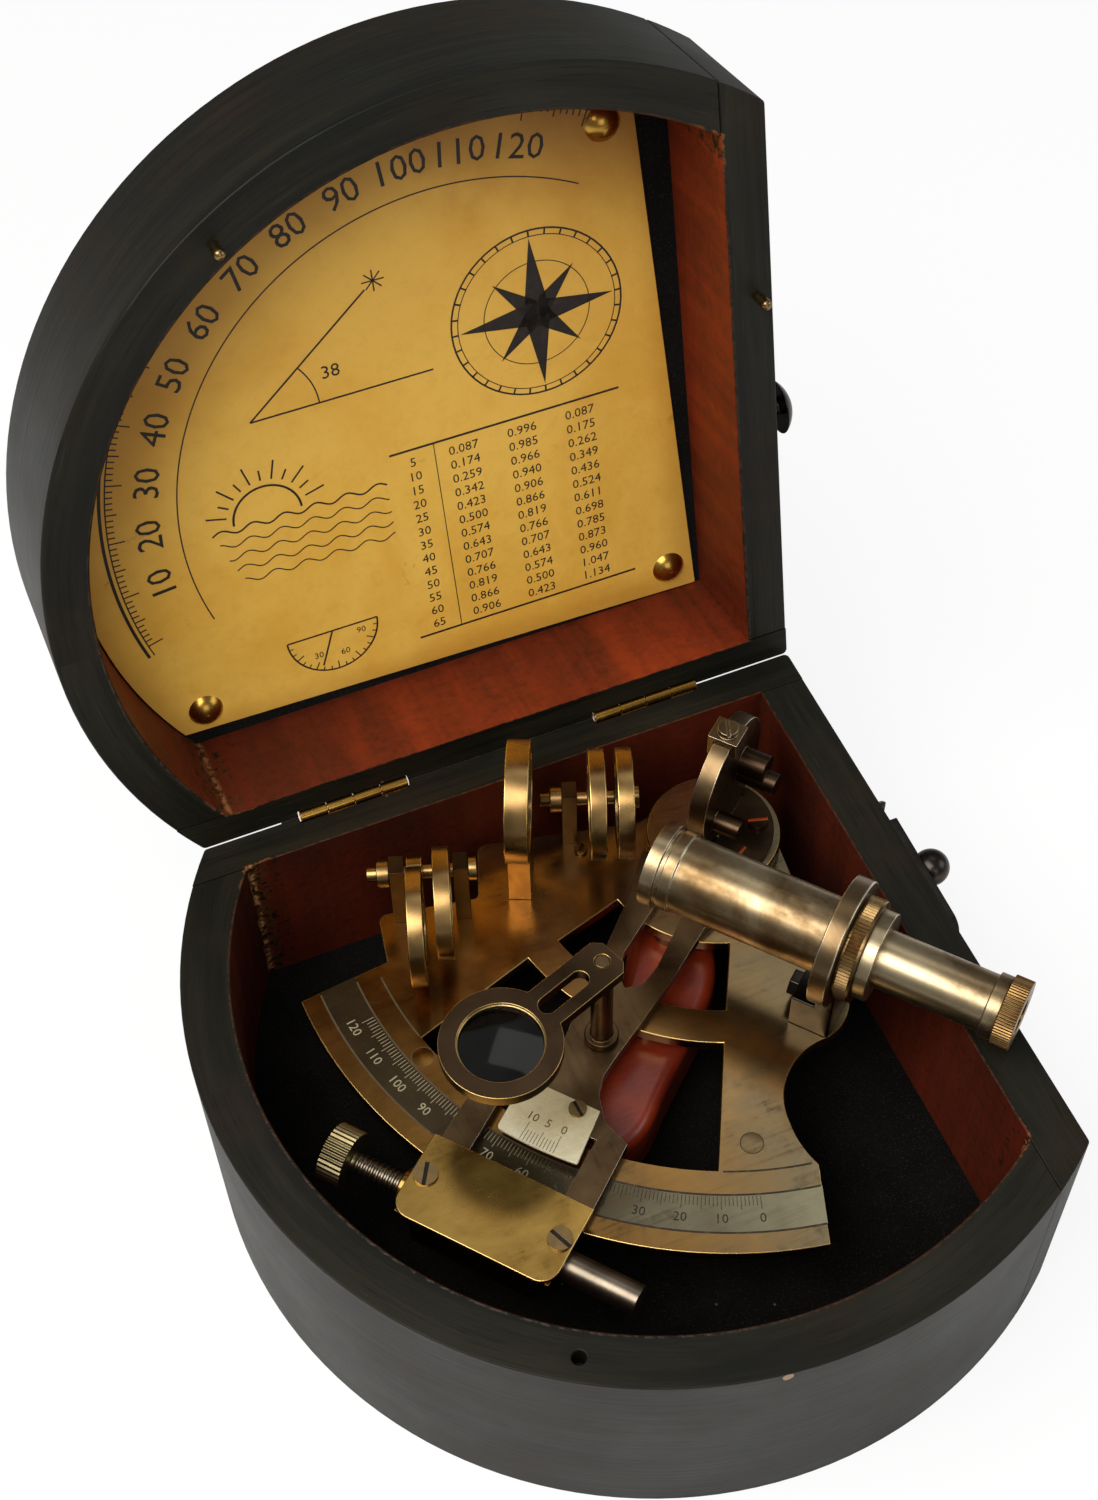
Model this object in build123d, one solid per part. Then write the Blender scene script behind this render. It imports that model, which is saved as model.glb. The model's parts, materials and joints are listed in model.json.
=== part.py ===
from build123d import *
import os
from math import acos, atan2, cos, sin, tan, radians, degrees, hypot, sqrt, pi

# ---------------------------------------------------------------------------
# D-shaped wooden box with a hinged lid and a swing hook, holding a small brass
# sextant that lifts out.  Millimetres.  The origin is the centre of the curved
# wall's circle, on the face that the box stands on.  +Z is up, the hinge edge
# runs along X at the back (+Y), and the hook is on the right wall (+X).
# ---------------------------------------------------------------------------

# case
case_width = 140.0          # outer length of the straight back edge
case_depth = 135.0          # outer length of the straight right edge
curve_centre_inset = 13.65  # curved wall's centre, from the chord between the two ends towards the corner
corner_round = 1.2          # vertical outer edges
base_height = 60.0
base_back_wall = 8.0
base_right_wall = 10.5
base_curved_wall = 10.5
bottom_thick = 12.0
velvet_thick = 5.0
lid_height = 34.5
lid_back_wall = 7.0
lid_right_wall = 9.5
lid_curved_wall = 9.5
lid_top_thick = 6.5
lid_lining_thick = 1.5
rim_gap = 0.15              # between the closed lid's rim and the base's rim
lid_open_angle = 102.9      # the lid as it stands, measured from closed

# label card in the lid, its corners measured from the box's outer back right corner
card_thick = 0.5
card_edge_right = 7.3       # to the back wall's outside, at the right end
card_edge_left = 10.5       # and at the left end
card_right_top = 10.9
card_right_bottom = 17.2
card_curve_margin = 0.4
nail_radius = 3.9
nail_height = 2.0

# hinges
hinge_offset_y = 0.1        # hinge pin, outside the back face
hinge_length = 25.0
hinge_left_from_corner = 118.2
hinge_right_from_corner = 48.2
knuckle_radius = 1.25
knuckle_count = 4
knuckle_play = 0.22
hinge_pin_radius = 0.7
hinge_bore_play = 0.05
leaf_height = 12.0
leaf_thick = 1.0
leaf_play = 0.4             # room cut in the wood round the knuckles
leaf_screw_radius = 1.3
leaf_screw_height = 0.5

# hook and stud on the right wall
hook_from_back = 61.5
hook_below_rim = 7.0        # hook's pivot, under the base's rim
hook_standoff = 0.7
hook_thick = 2.0
hook_reach = 14.5           # pivot to the stud
hook_tip_radius = 5.0
hook_tail = 14.1
hook_tail_radius = 3.4
hook_pivot_radius = 1.8
hook_bore_play = 0.06
hook_knob_radius = 4.1
stud_neck_radius = 2.0
stud_head_radius = 6.2
stud_head_height = 3.0
stud_gap = 0.45             # between the hook and the stud's head
stud_notch_play = 0.35

# pins that line up the two rims
rim_pin_radius = 1.15
rim_pin_length = 5.0
rim_pin_play = 0.25
curve_pin_angle = -121.95   # round the curved wall's centre
curve_pin_inset = 4.95      # from the curved wall's outside
right_pin_from_back = 94.0
right_pin_inset = 3.4        # from the right wall's outside

# sextant: height of its plate, and its pivot measured from the back right corner
pivot_from_right = 32.5
pivot_from_back = 31.0
plate_below_rim = 18.0      # plate's top face, under the base's rim
plate_thick = 3.0
limb_outer = 98.8
limb_inner = 80.6
limb_start = 181.4
limb_end = 258.9
scale_inner = 86.0
scale_outer = 94.3
scale_spare = 4.0           # degrees past the limb's ends, so that the strip is cut flush with them
scale_thick = 0.4
crossbar_outer = 50.8
crossbar_inner = 42.8
boss_window = 26.0
axle_radius = 5.0
axle_play = 0.05

# index arm
arm_angle = 219.7
arm_gap = 0.2               # arm above plate
arm_thick = 2.8
arm_end = 99.0
disc_radius = 15.0
disc_thick = 3.0
foot_radius = 13.4
foot_thick = 1.5
index_ring_radius = 14.6
index_ring_depth = 4.0
index_glass_radius = 12.6
index_ring_back = 4.0       # ring centre behind the pivot
index_stubs = [(-5.0, 1.4, 6.0, 3.1), (-4.2, -1.6, 8.9, 2.5), (8.0, -5.5, 6.0, 2.5)]  # along, up, length, radius
clip_width = 6.0
clip_thick = 1.2
clip_lift = 0.3             # clip over the mirror's ring

# clamp and tangent screw
clamp_start = 94.0
clamp_end = 113.0
clamp_half = 18.3
clamp_plate_thick = 1.4
clamp_screw_at = (103.0, 15.3)   # along the arm, and each side of it
clamp_screw_radius = 2.6
foot_screw_radius = 2.25
clamp_plate_rise = 6.0      # top of the clamp plate above the frame's plate
clamp_drop = 6.0            # underside of the clamp below the frame's top
screw_along = 105.0
screw_rise = 0.4            # tangent screw's line above the frame's top
screw_rod_radius = 3.2
screw_thread_radius = 2.4
screw_thread_pitch = 1.2
screw_play = 0.06
knob_radius = 6.4
knob_thick = 5.5
knob_centre = 34.2
boss_end = 19.6
rod_end = 34.0
vernier_inner = 73.0
vernier_outer = 86.5
vernier_corner = 0.9
vernier_thick = 0.7

# magnifier on the arm
post_along = 57.0
post_across = 1.0
post_radius = 2.35
post_rise = 30.4            # top of the post above the frame's top
magnifier_plate_thick = 2.8
magnifier_ring_radius = 12.45
magnifier_half = 4.85       # half the handle's width
magnifier_end = 3.1         # handle beyond its rivet
magnifier_slot = [12.4, 21.0]   # slot's end centres, from the lens
magnifier_slot_half = 1.95
rivet_radius = 1.6
magnifier_lens_radius = 8.8
magnifier_lens_along = 82.6
magnifier_lens_across = -8.2
bezel_width = 0.25

# horizon mirror, measured from the pivot
mirror_angle = -24.4        # direction of the mirror's axis
mirror_x = -42.5
mirror_y = 9.8
mirror_rise = 27.5          # mirror's axis above the frame's top
mirror_radius = 13.4
mirror_depth = 5.2
mirror_glass_radius = 11.6
mirror_block_front = 7.0    # solid foot, from the mirror's axis towards the front
mirror_block_back = 3.5

# index shades
index_angle = -20.5         # direction of the bolt
index_bolt_x = -28.1
index_bolt_y = 15.0
index_bolt_rise = 14.3
index_shade_radius = 12.1
index_shade_thick = 3.6
index_shade_reach = 13.5
index_shade_at = [5.2, 11.1]
index_shade_raise = 48.0
index_bolt_end = 15.0
index_block_at = -0.5
bracket_screw_place = (-27.8, 10.4)

# horizon shades
horizon_angle = -18.5
horizon_bolt_x = -71.0
horizon_bolt_y = 10.2
horizon_bolt_rise = 16.2
horizon_shade_thick = 3.5
horizon_shade_reach = 14.0
horizon_shade_radius = [12.8, 12.0]
horizon_shade_at = [3.9, 9.9]
horizon_shade_raise = [0.0, 26.0]
horizon_block_at = [0.0, 13.8]
horizon_bolt_end = 17.3
shade_bolt_radius = 1.6
shade_bolt_play = 0.06
shade_glass_radius = 9.4
shade_glass_thick = 1.6
block_width = 3.3
block_deep = 4.6

# telescope, measured from the pivot and along its own axis from the objective
scope_x = -21.9
scope_y = -16.2
scope_rise = 28.0           # telescope's axis above the frame's top
scope_angle = -50.4
scope_draw_room = 1.2       # between the draw tube and the front of the main tube's bore
scope_wall = 1.0
scope_flange_lip = 0.9
scope_tube_length = 51.2
end_ring_lip = 1.2          # smooth ring behind the collar, past the tube
end_ring_start = 48.4
holder_at = 42.5
holder_wall = 5.5
holder_thick = 4.0
holder_foot_length = 9.2
holder_foot_half = 6.6
collar_at = 46.5
collar_wall = 2.8
collar_thick = 3.8
collar_lip = 0.6
collar_flutes = 90
draw_radius = 6.2
draw_wall = 1.0
draw_play = 0.06
draw_inner_end = 28.0
sleeve_at = 74.4            # stepped end of the draw tube
sleeve_step = 0.7
cap_at = 77.2
cap_thick = 3.9
cap_step = 0.7
cap_flutes = 70
nut_radius = 3.2

# handle below the plate
handle_drop = 6.0           # top of the grip below the frame's top
handle_thick = 16.0
handle_round = 3.0
handle_spine = [(-16.5, -13.0), (-19.5, -21.0), (-29.0, -32.5), (-41.5, -45.0), (-48.5, -52.0)]
handle_half = [8.6, 10.0, 9.6, 8.6, 7.6]
handle_post_at = [(-17.3, -14.3), (-31.3, -34.6)]
handle_post_radius = 3.0
leg_radius = 3.0
leg_foot_radius = 4.2
leg_tenon_radius = 2.4      # flush end in the plate


# ---------------------------------------------------------------- places
half_chord = hypot(case_width, case_depth) / 2
case_radius = hypot(half_chord, curve_centre_inset)
chord_x = case_depth / (2 * half_chord)
chord_y = case_width / (2 * half_chord)
corner_x = case_width / 2 - curve_centre_inset * chord_x
corner_y = case_depth / 2 - curve_centre_inset * chord_y

floor_top = bottom_thick + velvet_thick
lid_rim = base_height + rim_gap
lid_top = lid_rim + lid_height
lid_ceiling = lid_top - lid_top_thick
hinge_y = corner_y + hinge_offset_y
hinge_z = lid_rim
pivot_x = corner_x - pivot_from_right
pivot_y = corner_y - pivot_from_back
seat = Pos(pivot_x, pivot_y, 0)
arm_seat = seat * Rot(0, 0, arm_angle)
lid_turn = Pos(0, hinge_y, hinge_z) * Rot(-lid_open_angle, 0, 0) * Pos(0, -hinge_y, -hinge_z)
hook_height = base_height - hook_below_rim
plate_top = base_height - plate_below_rim
plate_bottom = plate_top - plate_thick
arm_bottom = plate_top + arm_gap
arm_top = arm_bottom + arm_thick
clamp_plate_top = plate_top + clamp_plate_rise
clamp_bottom = plate_top - clamp_drop
screw_height = plate_top + screw_rise
post_top = plate_top + post_rise
mirror_z = plate_top + mirror_rise
index_bolt_z = plate_top + index_bolt_rise
horizon_bolt_z = plate_top + horizon_bolt_rise
scope_z = plate_top + scope_rise
handle_top = plate_top - handle_drop
draw_bore = draw_radius - draw_wall
sleeve_radius = draw_radius + sleeve_step
cap_radius = sleeve_radius + cap_step
scope_tube_bore = draw_radius + scope_draw_room
scope_tube_radius = scope_tube_bore + scope_wall
scope_flange_radius = scope_tube_radius + scope_flange_lip
end_ring_radius = scope_tube_radius + end_ring_lip
holder_radius = scope_tube_radius + holder_wall
collar_radius = scope_tube_radius + collar_wall
pieces = {}


# ---------------------------------------------------------------- shapes
def block(x0, x1, y0, y1, z0, z1):
    """Straight block between two corners."""
    return Pos((x0 + x1) / 2, (y0 + y1) / 2, (z0 + z1) / 2) * Box(x1 - x0, y1 - y0, z1 - z0)


def upright(x, y, z0, z1, radius):
    """Round bar standing on z0."""
    return Pos(x, y, (z0 + z1) / 2) * Cylinder(radius, z1 - z0)


def bar(plane, start, end, radius):
    """Round bar along a plane's normal, from one distance to another."""
    return plane * Pos(0, 0, (start + end) / 2) * Cylinder(radius, end - start)


def hoop(plane, start, end, outer, inner):
    """Round bar with a hole through it."""
    return bar(plane, start, end, outer) - bar(plane, start - 1, end + 1, inner)


def polar(radius, angle):
    """Point at a radius and an angle in degrees."""
    return (radius * cos(radians(angle)), radius * sin(radians(angle)))


def plate(points, z0, z1):
    """Flat plate with straight sides."""
    return extrude(Pos(0, 0, z0) * make_face(Polyline(*points, close=True)), amount=z1 - z0)


def outline_of(points):
    """Chain of straight sides; a point's third number rounds that corner."""
    sides = []
    last = None
    for k, point in enumerate(points):
        x, y = point[0], point[1]
        enter = leave = (x, y)
        if len(point) > 2:
            ax, ay = points[k - 1][0] - x, points[k - 1][1] - y
            bx, by = points[k + 1][0] - x, points[k + 1][1] - y
            la, lb = hypot(ax, ay), hypot(bx, by)
            half = acos((ax * bx + ay * by) / (la * lb)) / 2
            cut = point[2] / tan(half)
            enter = (x + ax / la * cut, y + ay / la * cut)
            leave = (x + bx / lb * cut, y + by / lb * cut)
            mx, my = ax / la + bx / lb, ay / la + by / lb
            deep = (point[2] / sin(half) - point[2]) / hypot(mx, my)
            middle = (x + mx * deep, y + my * deep)
        if last is not None:
            sides.append(Line(last, enter))
        if enter != leave:
            sides.append(ThreePointArc(enter, middle, leave))
        last = leave
    return sides


def link(start, end, start_radius, end_radius):
    """Flat shape wrapped round two circles."""
    x0, y0 = start
    x1, y1 = end
    heading = atan2(y1 - y0, x1 - x0)
    lean = acos((start_radius - end_radius) / hypot(x1 - x0, y1 - y0))
    corners = []
    for side in (1, -1):
        turn = heading + side * lean
        corners.append((x0 + start_radius * cos(turn), y0 + start_radius * sin(turn)))
        corners.append((x1 + end_radius * cos(turn), y1 + end_radius * sin(turn)))
    back = (x0 - start_radius * cos(heading), y0 - start_radius * sin(heading))
    front = (x1 + end_radius * cos(heading), y1 + end_radius * sin(heading))
    return make_face([
        Line(corners[0], corners[1]),
        ThreePointArc(corners[1], front, corners[3]),
        Line(corners[3], corners[2]),
        ThreePointArc(corners[2], back, corners[0]),
    ])


def sector(inner, outer, start, end, z0, z1):
    """Part of a flat ring about the local origin."""
    middle = (start + end) / 2
    outline = [
        Line(polar(inner, start), polar(outer, start)),
        ThreePointArc(polar(outer, start), polar(outer, middle), polar(outer, end)),
        Line(polar(outer, end), polar(inner, end)),
        ThreePointArc(polar(inner, end), polar(inner, middle), polar(inner, start)),
    ]
    return extrude(Pos(0, 0, z0) * make_face(outline), amount=z1 - z0)


def fluted(radius, depth, count, z0, z1):
    """Round knob with a milled edge."""
    points = []
    for k in range(count):
        points.append(polar(radius, 360 * k / count))
        points.append(polar(radius - depth, 360 * (k + 0.5) / count))
    return plate(points, z0, z1)


def slotted_screw(radius, height, slot_angle=0.0):
    """Low screw head with a slot, standing on the local origin."""
    head = Pos(0, 0, height / 2) * Cylinder(radius, height)
    slot = Pos(0, 0, height) * Rot(0, 0, slot_angle) * Box(radius * 3, radius * 0.32, height * 0.9)
    return head - slot


def dome(radius, height):
    """Shallow dome standing on the local origin."""
    ball = (radius * radius + height * height) / (2 * height)
    cap = Pos(0, 0, height - ball) * Sphere(ball)
    return cap & (Pos(0, 0, height / 2) * Cylinder(radius * 1.5, height))


def d_face(back, right, curved):
    """D-shaped outline, set in from the outside of each wall."""
    radius = case_radius - curved
    top = corner_y - back
    side = corner_x - right
    left = -sqrt(radius * radius - top * top)
    low = -sqrt(radius * radius - side * side)
    middle = polar(radius, (degrees(turn_of(left, top)) + degrees(turn_of(side, low))) / 2)
    outline = [
        Line((side, top), (left, top)),
        ThreePointArc((left, top), middle, (side, low)),
        Line((side, low), (side, top)),
    ]
    return make_face(outline)


def turn_of(x, y):
    """Angle of a point, between 0 and a full turn."""
    value = atan2(y, x)
    return value if value > 0 else value + 2 * pi


def d_prism(back, right, curved, z0, z1):
    """Upright D-shaped block."""
    return extrude(Pos(0, 0, z0) * d_face(back, right, curved), amount=z1 - z0)


def walls(back, right, curved, z0, z1):
    """The three walls of a D-shaped frame, as separate solids."""
    outer = d_prism(0, 0, 0, z0, z1)
    outer = fillet(outer.edges().filter_by(Axis.Z), corner_round)
    ring = outer - d_prism(back, right, curved, z0 - 1, z1 + 1)
    big = 4 * case_radius
    behind = block(-big, big, corner_y - back, big, z0 - 1, z1 + 1)
    beside = block(corner_x - right, big, -big, corner_y - back, z0 - 1, z1 + 1)
    rest = block(-big, corner_x - right, -big, corner_y - back, z0 - 1, z1 + 1)
    return ring & behind, ring & beside, ring & rest


# ---------------------------------------------------------------- base
back_wall, right_wall, curved_wall = walls(base_back_wall, base_right_wall, base_curved_wall, 0, base_height)

hinge_spans = []
for from_corner in (hinge_left_from_corner, hinge_right_from_corner):
    start = corner_x - from_corner
    hinge_spans.append((start, start + hinge_length))

barrel_room = knuckle_radius + leaf_play
hinge_plane = Plane(origin=(0, hinge_y, hinge_z), x_dir=(0, 1, 0), z_dir=(1, 0, 0))
leaf_front = corner_y - leaf_thick
for start, end in hinge_spans:
    back_wall -= bar(hinge_plane, start - 0.3, end + 0.3, barrel_room)
    back_wall -= block(start, end, leaf_front, corner_y + 1, lid_rim - leaf_height, base_height + 1)

pin_x = (case_radius - curve_pin_inset) * cos(radians(curve_pin_angle))
pin_y = (case_radius - curve_pin_inset) * sin(radians(curve_pin_angle))
right_pin_x = corner_x - right_pin_inset
right_pin_y = corner_y - right_pin_from_back
pin_hole_depth = rim_pin_length + 1
curved_wall -= upright(pin_x, pin_y, base_height - pin_hole_depth, base_height + 1, rim_pin_radius + rim_pin_play)
right_wall -= upright(
    right_pin_x, right_pin_y, base_height - pin_hole_depth, base_height + 1, rim_pin_radius + rim_pin_play
)

pieces["base_back_wall"] = back_wall
pieces["base_right_wall"] = right_wall
pieces["base_curved_wall"] = curved_wall
pieces["base_bottom_panel"] = d_prism(base_back_wall, base_right_wall, base_curved_wall, 0, bottom_thick)
pieces["base_velvet_floor"] = d_prism(
    base_back_wall, base_right_wall, base_curved_wall, bottom_thick, floor_top
)


# ---------------------------------------------------------------- hinges
def knuckle_spans(start, end, first):
    """Every second knuckle of one hinge."""
    length = (end - start) / knuckle_count
    spans = []
    for k in range(first, knuckle_count, 2):
        spans.append((start + k * length + knuckle_play / 2, start + (k + 1) * length - knuckle_play / 2))
    return spans


def leaf(start, end, first, bore, up):
    """One leaf: inlaid plate, knuckles and the webs that join them."""
    z0 = hinge_z if up else hinge_z - leaf_height
    z1 = hinge_z + leaf_height if up else hinge_z
    rim = hinge_z + (rim_gap / 2 if up else -rim_gap)
    body = block(start, end, leaf_front, corner_y, rim if up else z0, z1 if up else rim)
    for a, b in knuckle_spans(start, end, 1 - first):
        body -= bar(hinge_plane, a - knuckle_play, b + knuckle_play, barrel_room)
    for a, b in knuckle_spans(start, end, first):
        web = block(a, b, leaf_front, hinge_y, min(hinge_z, rim), max(hinge_z, rim) + 0.01)
        body += web & block(a, b, leaf_front, corner_y, z0, z1)
        body += bar(hinge_plane, a, b, knuckle_radius)
    body -= bar(hinge_plane, start - 1, end + 1, bore)
    return body


base_leaves = []
lid_leaves = []
pins = []
base_leaf_screws = []
lid_leaf_screws = []
screw_plane_y = corner_y
for start, end in hinge_spans:
    base_leaves.append(leaf(start, end, 0, hinge_pin_radius, False))
    lid_leaves.append(leaf(start, end, 1, hinge_pin_radius + hinge_bore_play, True))
    pins.append(bar(hinge_plane, start, end, hinge_pin_radius))
    for k in (0.15, 0.5, 0.85):
        x = start + k * (end - start)
        for up, bunch in ((False, base_leaf_screws), (True, lid_leaf_screws)):
            z = hinge_z + (0.58 if up else -0.58) * leaf_height
            face = Plane(origin=(x, screw_plane_y, z), x_dir=(1, 0, 0), z_dir=(0, 1, 0))
            bunch.append(face * slotted_screw(leaf_screw_radius, leaf_screw_height, 35 + 50 * k))

pieces["hinge_base_leaves"] = Compound(children=base_leaves)
pieces["hinge_pins"] = Compound(children=pins)
pieces["base_hinge_screws"] = Compound(children=base_leaf_screws)


# ---------------------------------------------------------------- lid, made shut and then opened
lid_back, lid_right, lid_curved = walls(lid_back_wall, lid_right_wall, lid_curved_wall, lid_rim, lid_top)
for start, end in hinge_spans:
    lid_back -= bar(hinge_plane, start - 0.3, end + 0.3, barrel_room)
    lid_back -= block(start, end, leaf_front, corner_y + 1, lid_rim - 1, lid_rim + leaf_height)

lining = d_prism(lid_back_wall, lid_right_wall, lid_curved_wall, lid_ceiling - lid_lining_thick, lid_ceiling)
card_z1 = lid_ceiling - lid_lining_thick
card_z0 = card_z1 - card_thick
card_radius = case_radius - lid_curved_wall - card_curve_margin
card_top = corner_y - card_edge_right
card_top_left = corner_y - card_edge_left
card_left = -sqrt(card_radius ** 2 - card_top_left ** 2)
card_low = -sqrt(card_radius ** 2 - (corner_x - card_right_bottom) ** 2)
card = d_prism(card_edge_right, card_right_top, lid_curved_wall + card_curve_margin, card_z0, card_z1)
card -= plate(
    [(corner_x - card_right_top, card_top), (card_left, card_top_left), (card_left - 40, card_top_left),
     (card_left - 40, card_top + 40), (corner_x, card_top + 40)],
    card_z0 - 1, card_z1 + 1
)
slant = [
    (corner_x - card_right_top, card_top),
    (corner_x - card_right_bottom, card_low),
    (corner_x - card_right_bottom, card_low - 40),
    (corner_x + 40, card_low - 40),
    (corner_x + 40, card_top),
]
card -= plate(slant, card_z0 - 1, card_z1 + 1)

nails = []
nail_places = [
    (card_left + 5.8, card_top_left - 5.1),
    (corner_x - card_right_top - 6.4, card_top - 6.5),
    (corner_x - card_right_bottom - 6.6, card_low + 8.2),
]
for x, y in nail_places:
    nails.append(Pos(x, y, card_z0) * Rot(180, 0, 0) * dome(nail_radius, nail_height))

rim_pins = [
    upright(pin_x, pin_y, lid_rim - rim_pin_length, lid_rim, rim_pin_radius),
    upright(right_pin_x, right_pin_y, lid_rim - rim_pin_length, lid_rim, rim_pin_radius),
]

hook_y = corner_y - hook_from_back
stud_z = hook_height + hook_reach
wall_plane = Plane(origin=(corner_x, hook_y, stud_z), x_dir=(0, 1, 0), z_dir=(1, 0, 0))
stud_neck = hook_standoff + hook_thick + stud_gap
stud = bar(wall_plane, 0, stud_neck, stud_neck_radius)
stud += wall_plane * Pos(0, 0, stud_neck) * dome(stud_head_radius, stud_head_height)

lid_pieces = {
    "lid_back_wall": lid_back,
    "lid_right_wall": lid_right,
    "lid_curved_wall": lid_curved,
    "lid_top_panel": d_prism(lid_back_wall, lid_right_wall, lid_curved_wall, lid_ceiling, lid_top),
    "lid_velvet_lining": lining,
    "label_card": card,
    "label_nails": Compound(children=nails),
    "rim_pins": Compound(children=rim_pins),
    "hinge_lid_leaves": Compound(children=lid_leaves),
    "lid_hinge_screws": Compound(children=lid_leaf_screws),
    "latch_stud": stud,
}
for name, shape in lid_pieces.items():
    pieces[name] = lid_turn * shape


# ---------------------------------------------------------------- swing hook
# Local x runs from the pivot towards the notch, at the back, and local y is up.
pivot_plane = Plane(origin=(corner_x, hook_y, hook_height), x_dir=(0, 1, 0), z_dir=(1, 0, 0))
notch = stud_neck_radius + stud_notch_play
hook_flat = link((-hook_tail, 0), (hook_reach, -0.4), hook_tail_radius, hook_tip_radius)
hook_slot = Pos(hook_reach, notch * 2) * Rectangle(2 * notch, 4 * notch) + Pos(hook_reach, 0) * Circle(notch)
hook_flat = hook_flat - hook_slot - Circle(hook_pivot_radius + hook_bore_play)
hook = pivot_plane * Pos(0, 0, hook_standoff) * extrude(hook_flat, amount=hook_thick)
pieces["latch_hook"] = hook

pivot_end = hook_standoff + hook_thick + 0.2
latch_pivot = bar(pivot_plane, 0, hook_standoff - 0.1, hook_pivot_radius + 1.6)
latch_pivot += bar(pivot_plane, 0, pivot_end + 1.0, hook_pivot_radius)
latch_pivot += pivot_plane * Pos(0, 0, pivot_end + hook_knob_radius * 0.56) * Sphere(hook_knob_radius) - bar(
    pivot_plane, -20, pivot_end, 20
)
pieces["latch_pivot"] = latch_pivot


# ---------------------------------------------------------------- sextant frame
left_limb = polar(limb_outer, limb_start)
right_limb = polar(limb_outer, limb_end)
limb_mid = polar(limb_outer, (limb_start + limb_end) / 2)
sides = outline_of([
    left_limb,
    (-78.2, -0.2), (-76.0, 12.0, 2.2), (-53.9, 7.6, 1.2), (-48.9, 20.7, 2.2), (-25.5, 15.4, 3.0),
    (-13.0, 12.6), (4.0, 14.4, 3.0), (14.6, 3.0, 3.0), (13.6, -8.0), (11.0, -30.0), (10.8, -46.0), (9.9, -48.6),
])
sides.append(ThreePointArc((9.9, -48.6), (6.7, -52.3), (1.7, -54.4)))
sides.append(ThreePointArc((1.7, -54.4), (-9.4, -58.5), (-14.5, -69.2)))
sides.append(ThreePointArc((-14.5, -69.2), (-14.6, -74.8), (-13.3, -80.2)))
sides.append(Line((-13.3, -80.2), right_limb))
sides.append(ThreePointArc(right_limb, limb_mid, left_limb))
frame_face = make_face(sides)
limb_window = [
    Line(polar(limb_inner, 195.0), polar(crossbar_outer, 192.9)),
    ThreePointArc(polar(crossbar_outer, 192.9), polar(crossbar_outer, 220.0), polar(crossbar_outer, 247.8)),
    Line(polar(crossbar_outer, 247.8), polar(limb_inner, 245.9)),
    ThreePointArc(polar(limb_inner, 245.9), polar(limb_inner, 220.0), polar(limb_inner, 195.0)),
]
boss_side = [
    Line(polar(crossbar_inner, 193.2), polar(boss_window, 191.1)),
    ThreePointArc(polar(boss_window, 191.1), polar(boss_window, 222.0), polar(boss_window, 253.4)),
    Line(polar(boss_window, 253.4), polar(crossbar_inner, 248.9)),
    ThreePointArc(polar(crossbar_inner, 248.9), polar(crossbar_inner, 221.0), polar(crossbar_inner, 193.2)),
]
frame_face = frame_face - make_face(limb_window) - make_face(boss_side)
frame = extrude(Pos(0, 0, plate_bottom) * frame_face, amount=plate_thick)
frame += upright(0, 0, plate_bottom, arm_top - 0.1, axle_radius)
scale_cut = sector(
    scale_inner, scale_outer, limb_start - scale_spare, limb_end + scale_spare, plate_top - scale_thick, plate_top + 1
)
scale_strip = frame & scale_cut
frame -= scale_cut
tenon_places = [(-79.3, -25.4), (-23.9, -70.6)]
leg_places = [(0.0, 0.0)] + tenon_places
for x, y in tenon_places:
    frame -= upright(x, y, plate_bottom - 1, plate_top + 1, leg_tenon_radius)
pieces["sextant_frame"] = seat * frame
pieces["limb_scale"] = seat * scale_strip

legs = []
for x, y in leg_places:
    tenon_top = plate_top if (x, y) in tenon_places else plate_bottom
    leg = upright(x, y, floor_top + 2, plate_bottom, leg_radius)
    leg += upright(x, y, floor_top, floor_top + 2, leg_foot_radius)
    leg += upright(x, y, plate_bottom - 1, tenon_top, leg_tenon_radius)
    legs.append(seat * leg)
pieces["frame_legs"] = Compound(children=legs)

left_bank = []
right_bank = []
for k, (x, y) in enumerate(handle_spine):
    x0, y0 = handle_spine[max(k - 1, 0)]
    x1, y1 = handle_spine[min(k + 1, len(handle_spine) - 1)]
    length = hypot(x1 - x0, y1 - y0)
    across = (-(y1 - y0) / length * handle_half[k], (x1 - x0) / length * handle_half[k])
    left_bank.append((x + across[0], y + across[1]))
    right_bank.append((x - across[0], y - across[1]))
    if k == 0:
        near_end = (x - across[1], y + across[0])
far_end = (x + across[1], y - across[0])
handle_rim = [near_end] + left_bank + [far_end] + right_bank[::-1]
grip = extrude(Pos(0, 0, handle_top - handle_thick) * make_face(Spline(*handle_rim, periodic=True)),
               amount=handle_thick)
grip = fillet(grip.edges().group_by(Axis.Z)[0] + grip.edges().group_by(Axis.Z)[-1], handle_round)
pieces["handle_grip"] = seat * grip
handle_posts = [seat * upright(x, y, handle_top, plate_bottom, handle_post_radius) for x, y in handle_post_at]
pieces["handle_posts"] = Compound(children=handle_posts)


# ---------------------------------------------------------------- horizon mirror
def row_plane(angle, x, y, z):
    """Plane whose normal runs along a row of upright rings, with +X towards the front and +Y down."""
    along = (cos(radians(angle)), sin(radians(angle)), 0)
    toward = (sin(radians(angle)), -cos(radians(angle)), 0)
    return Plane(origin=(pivot_x + x, pivot_y + y, z), x_dir=toward, z_dir=along)


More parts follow.
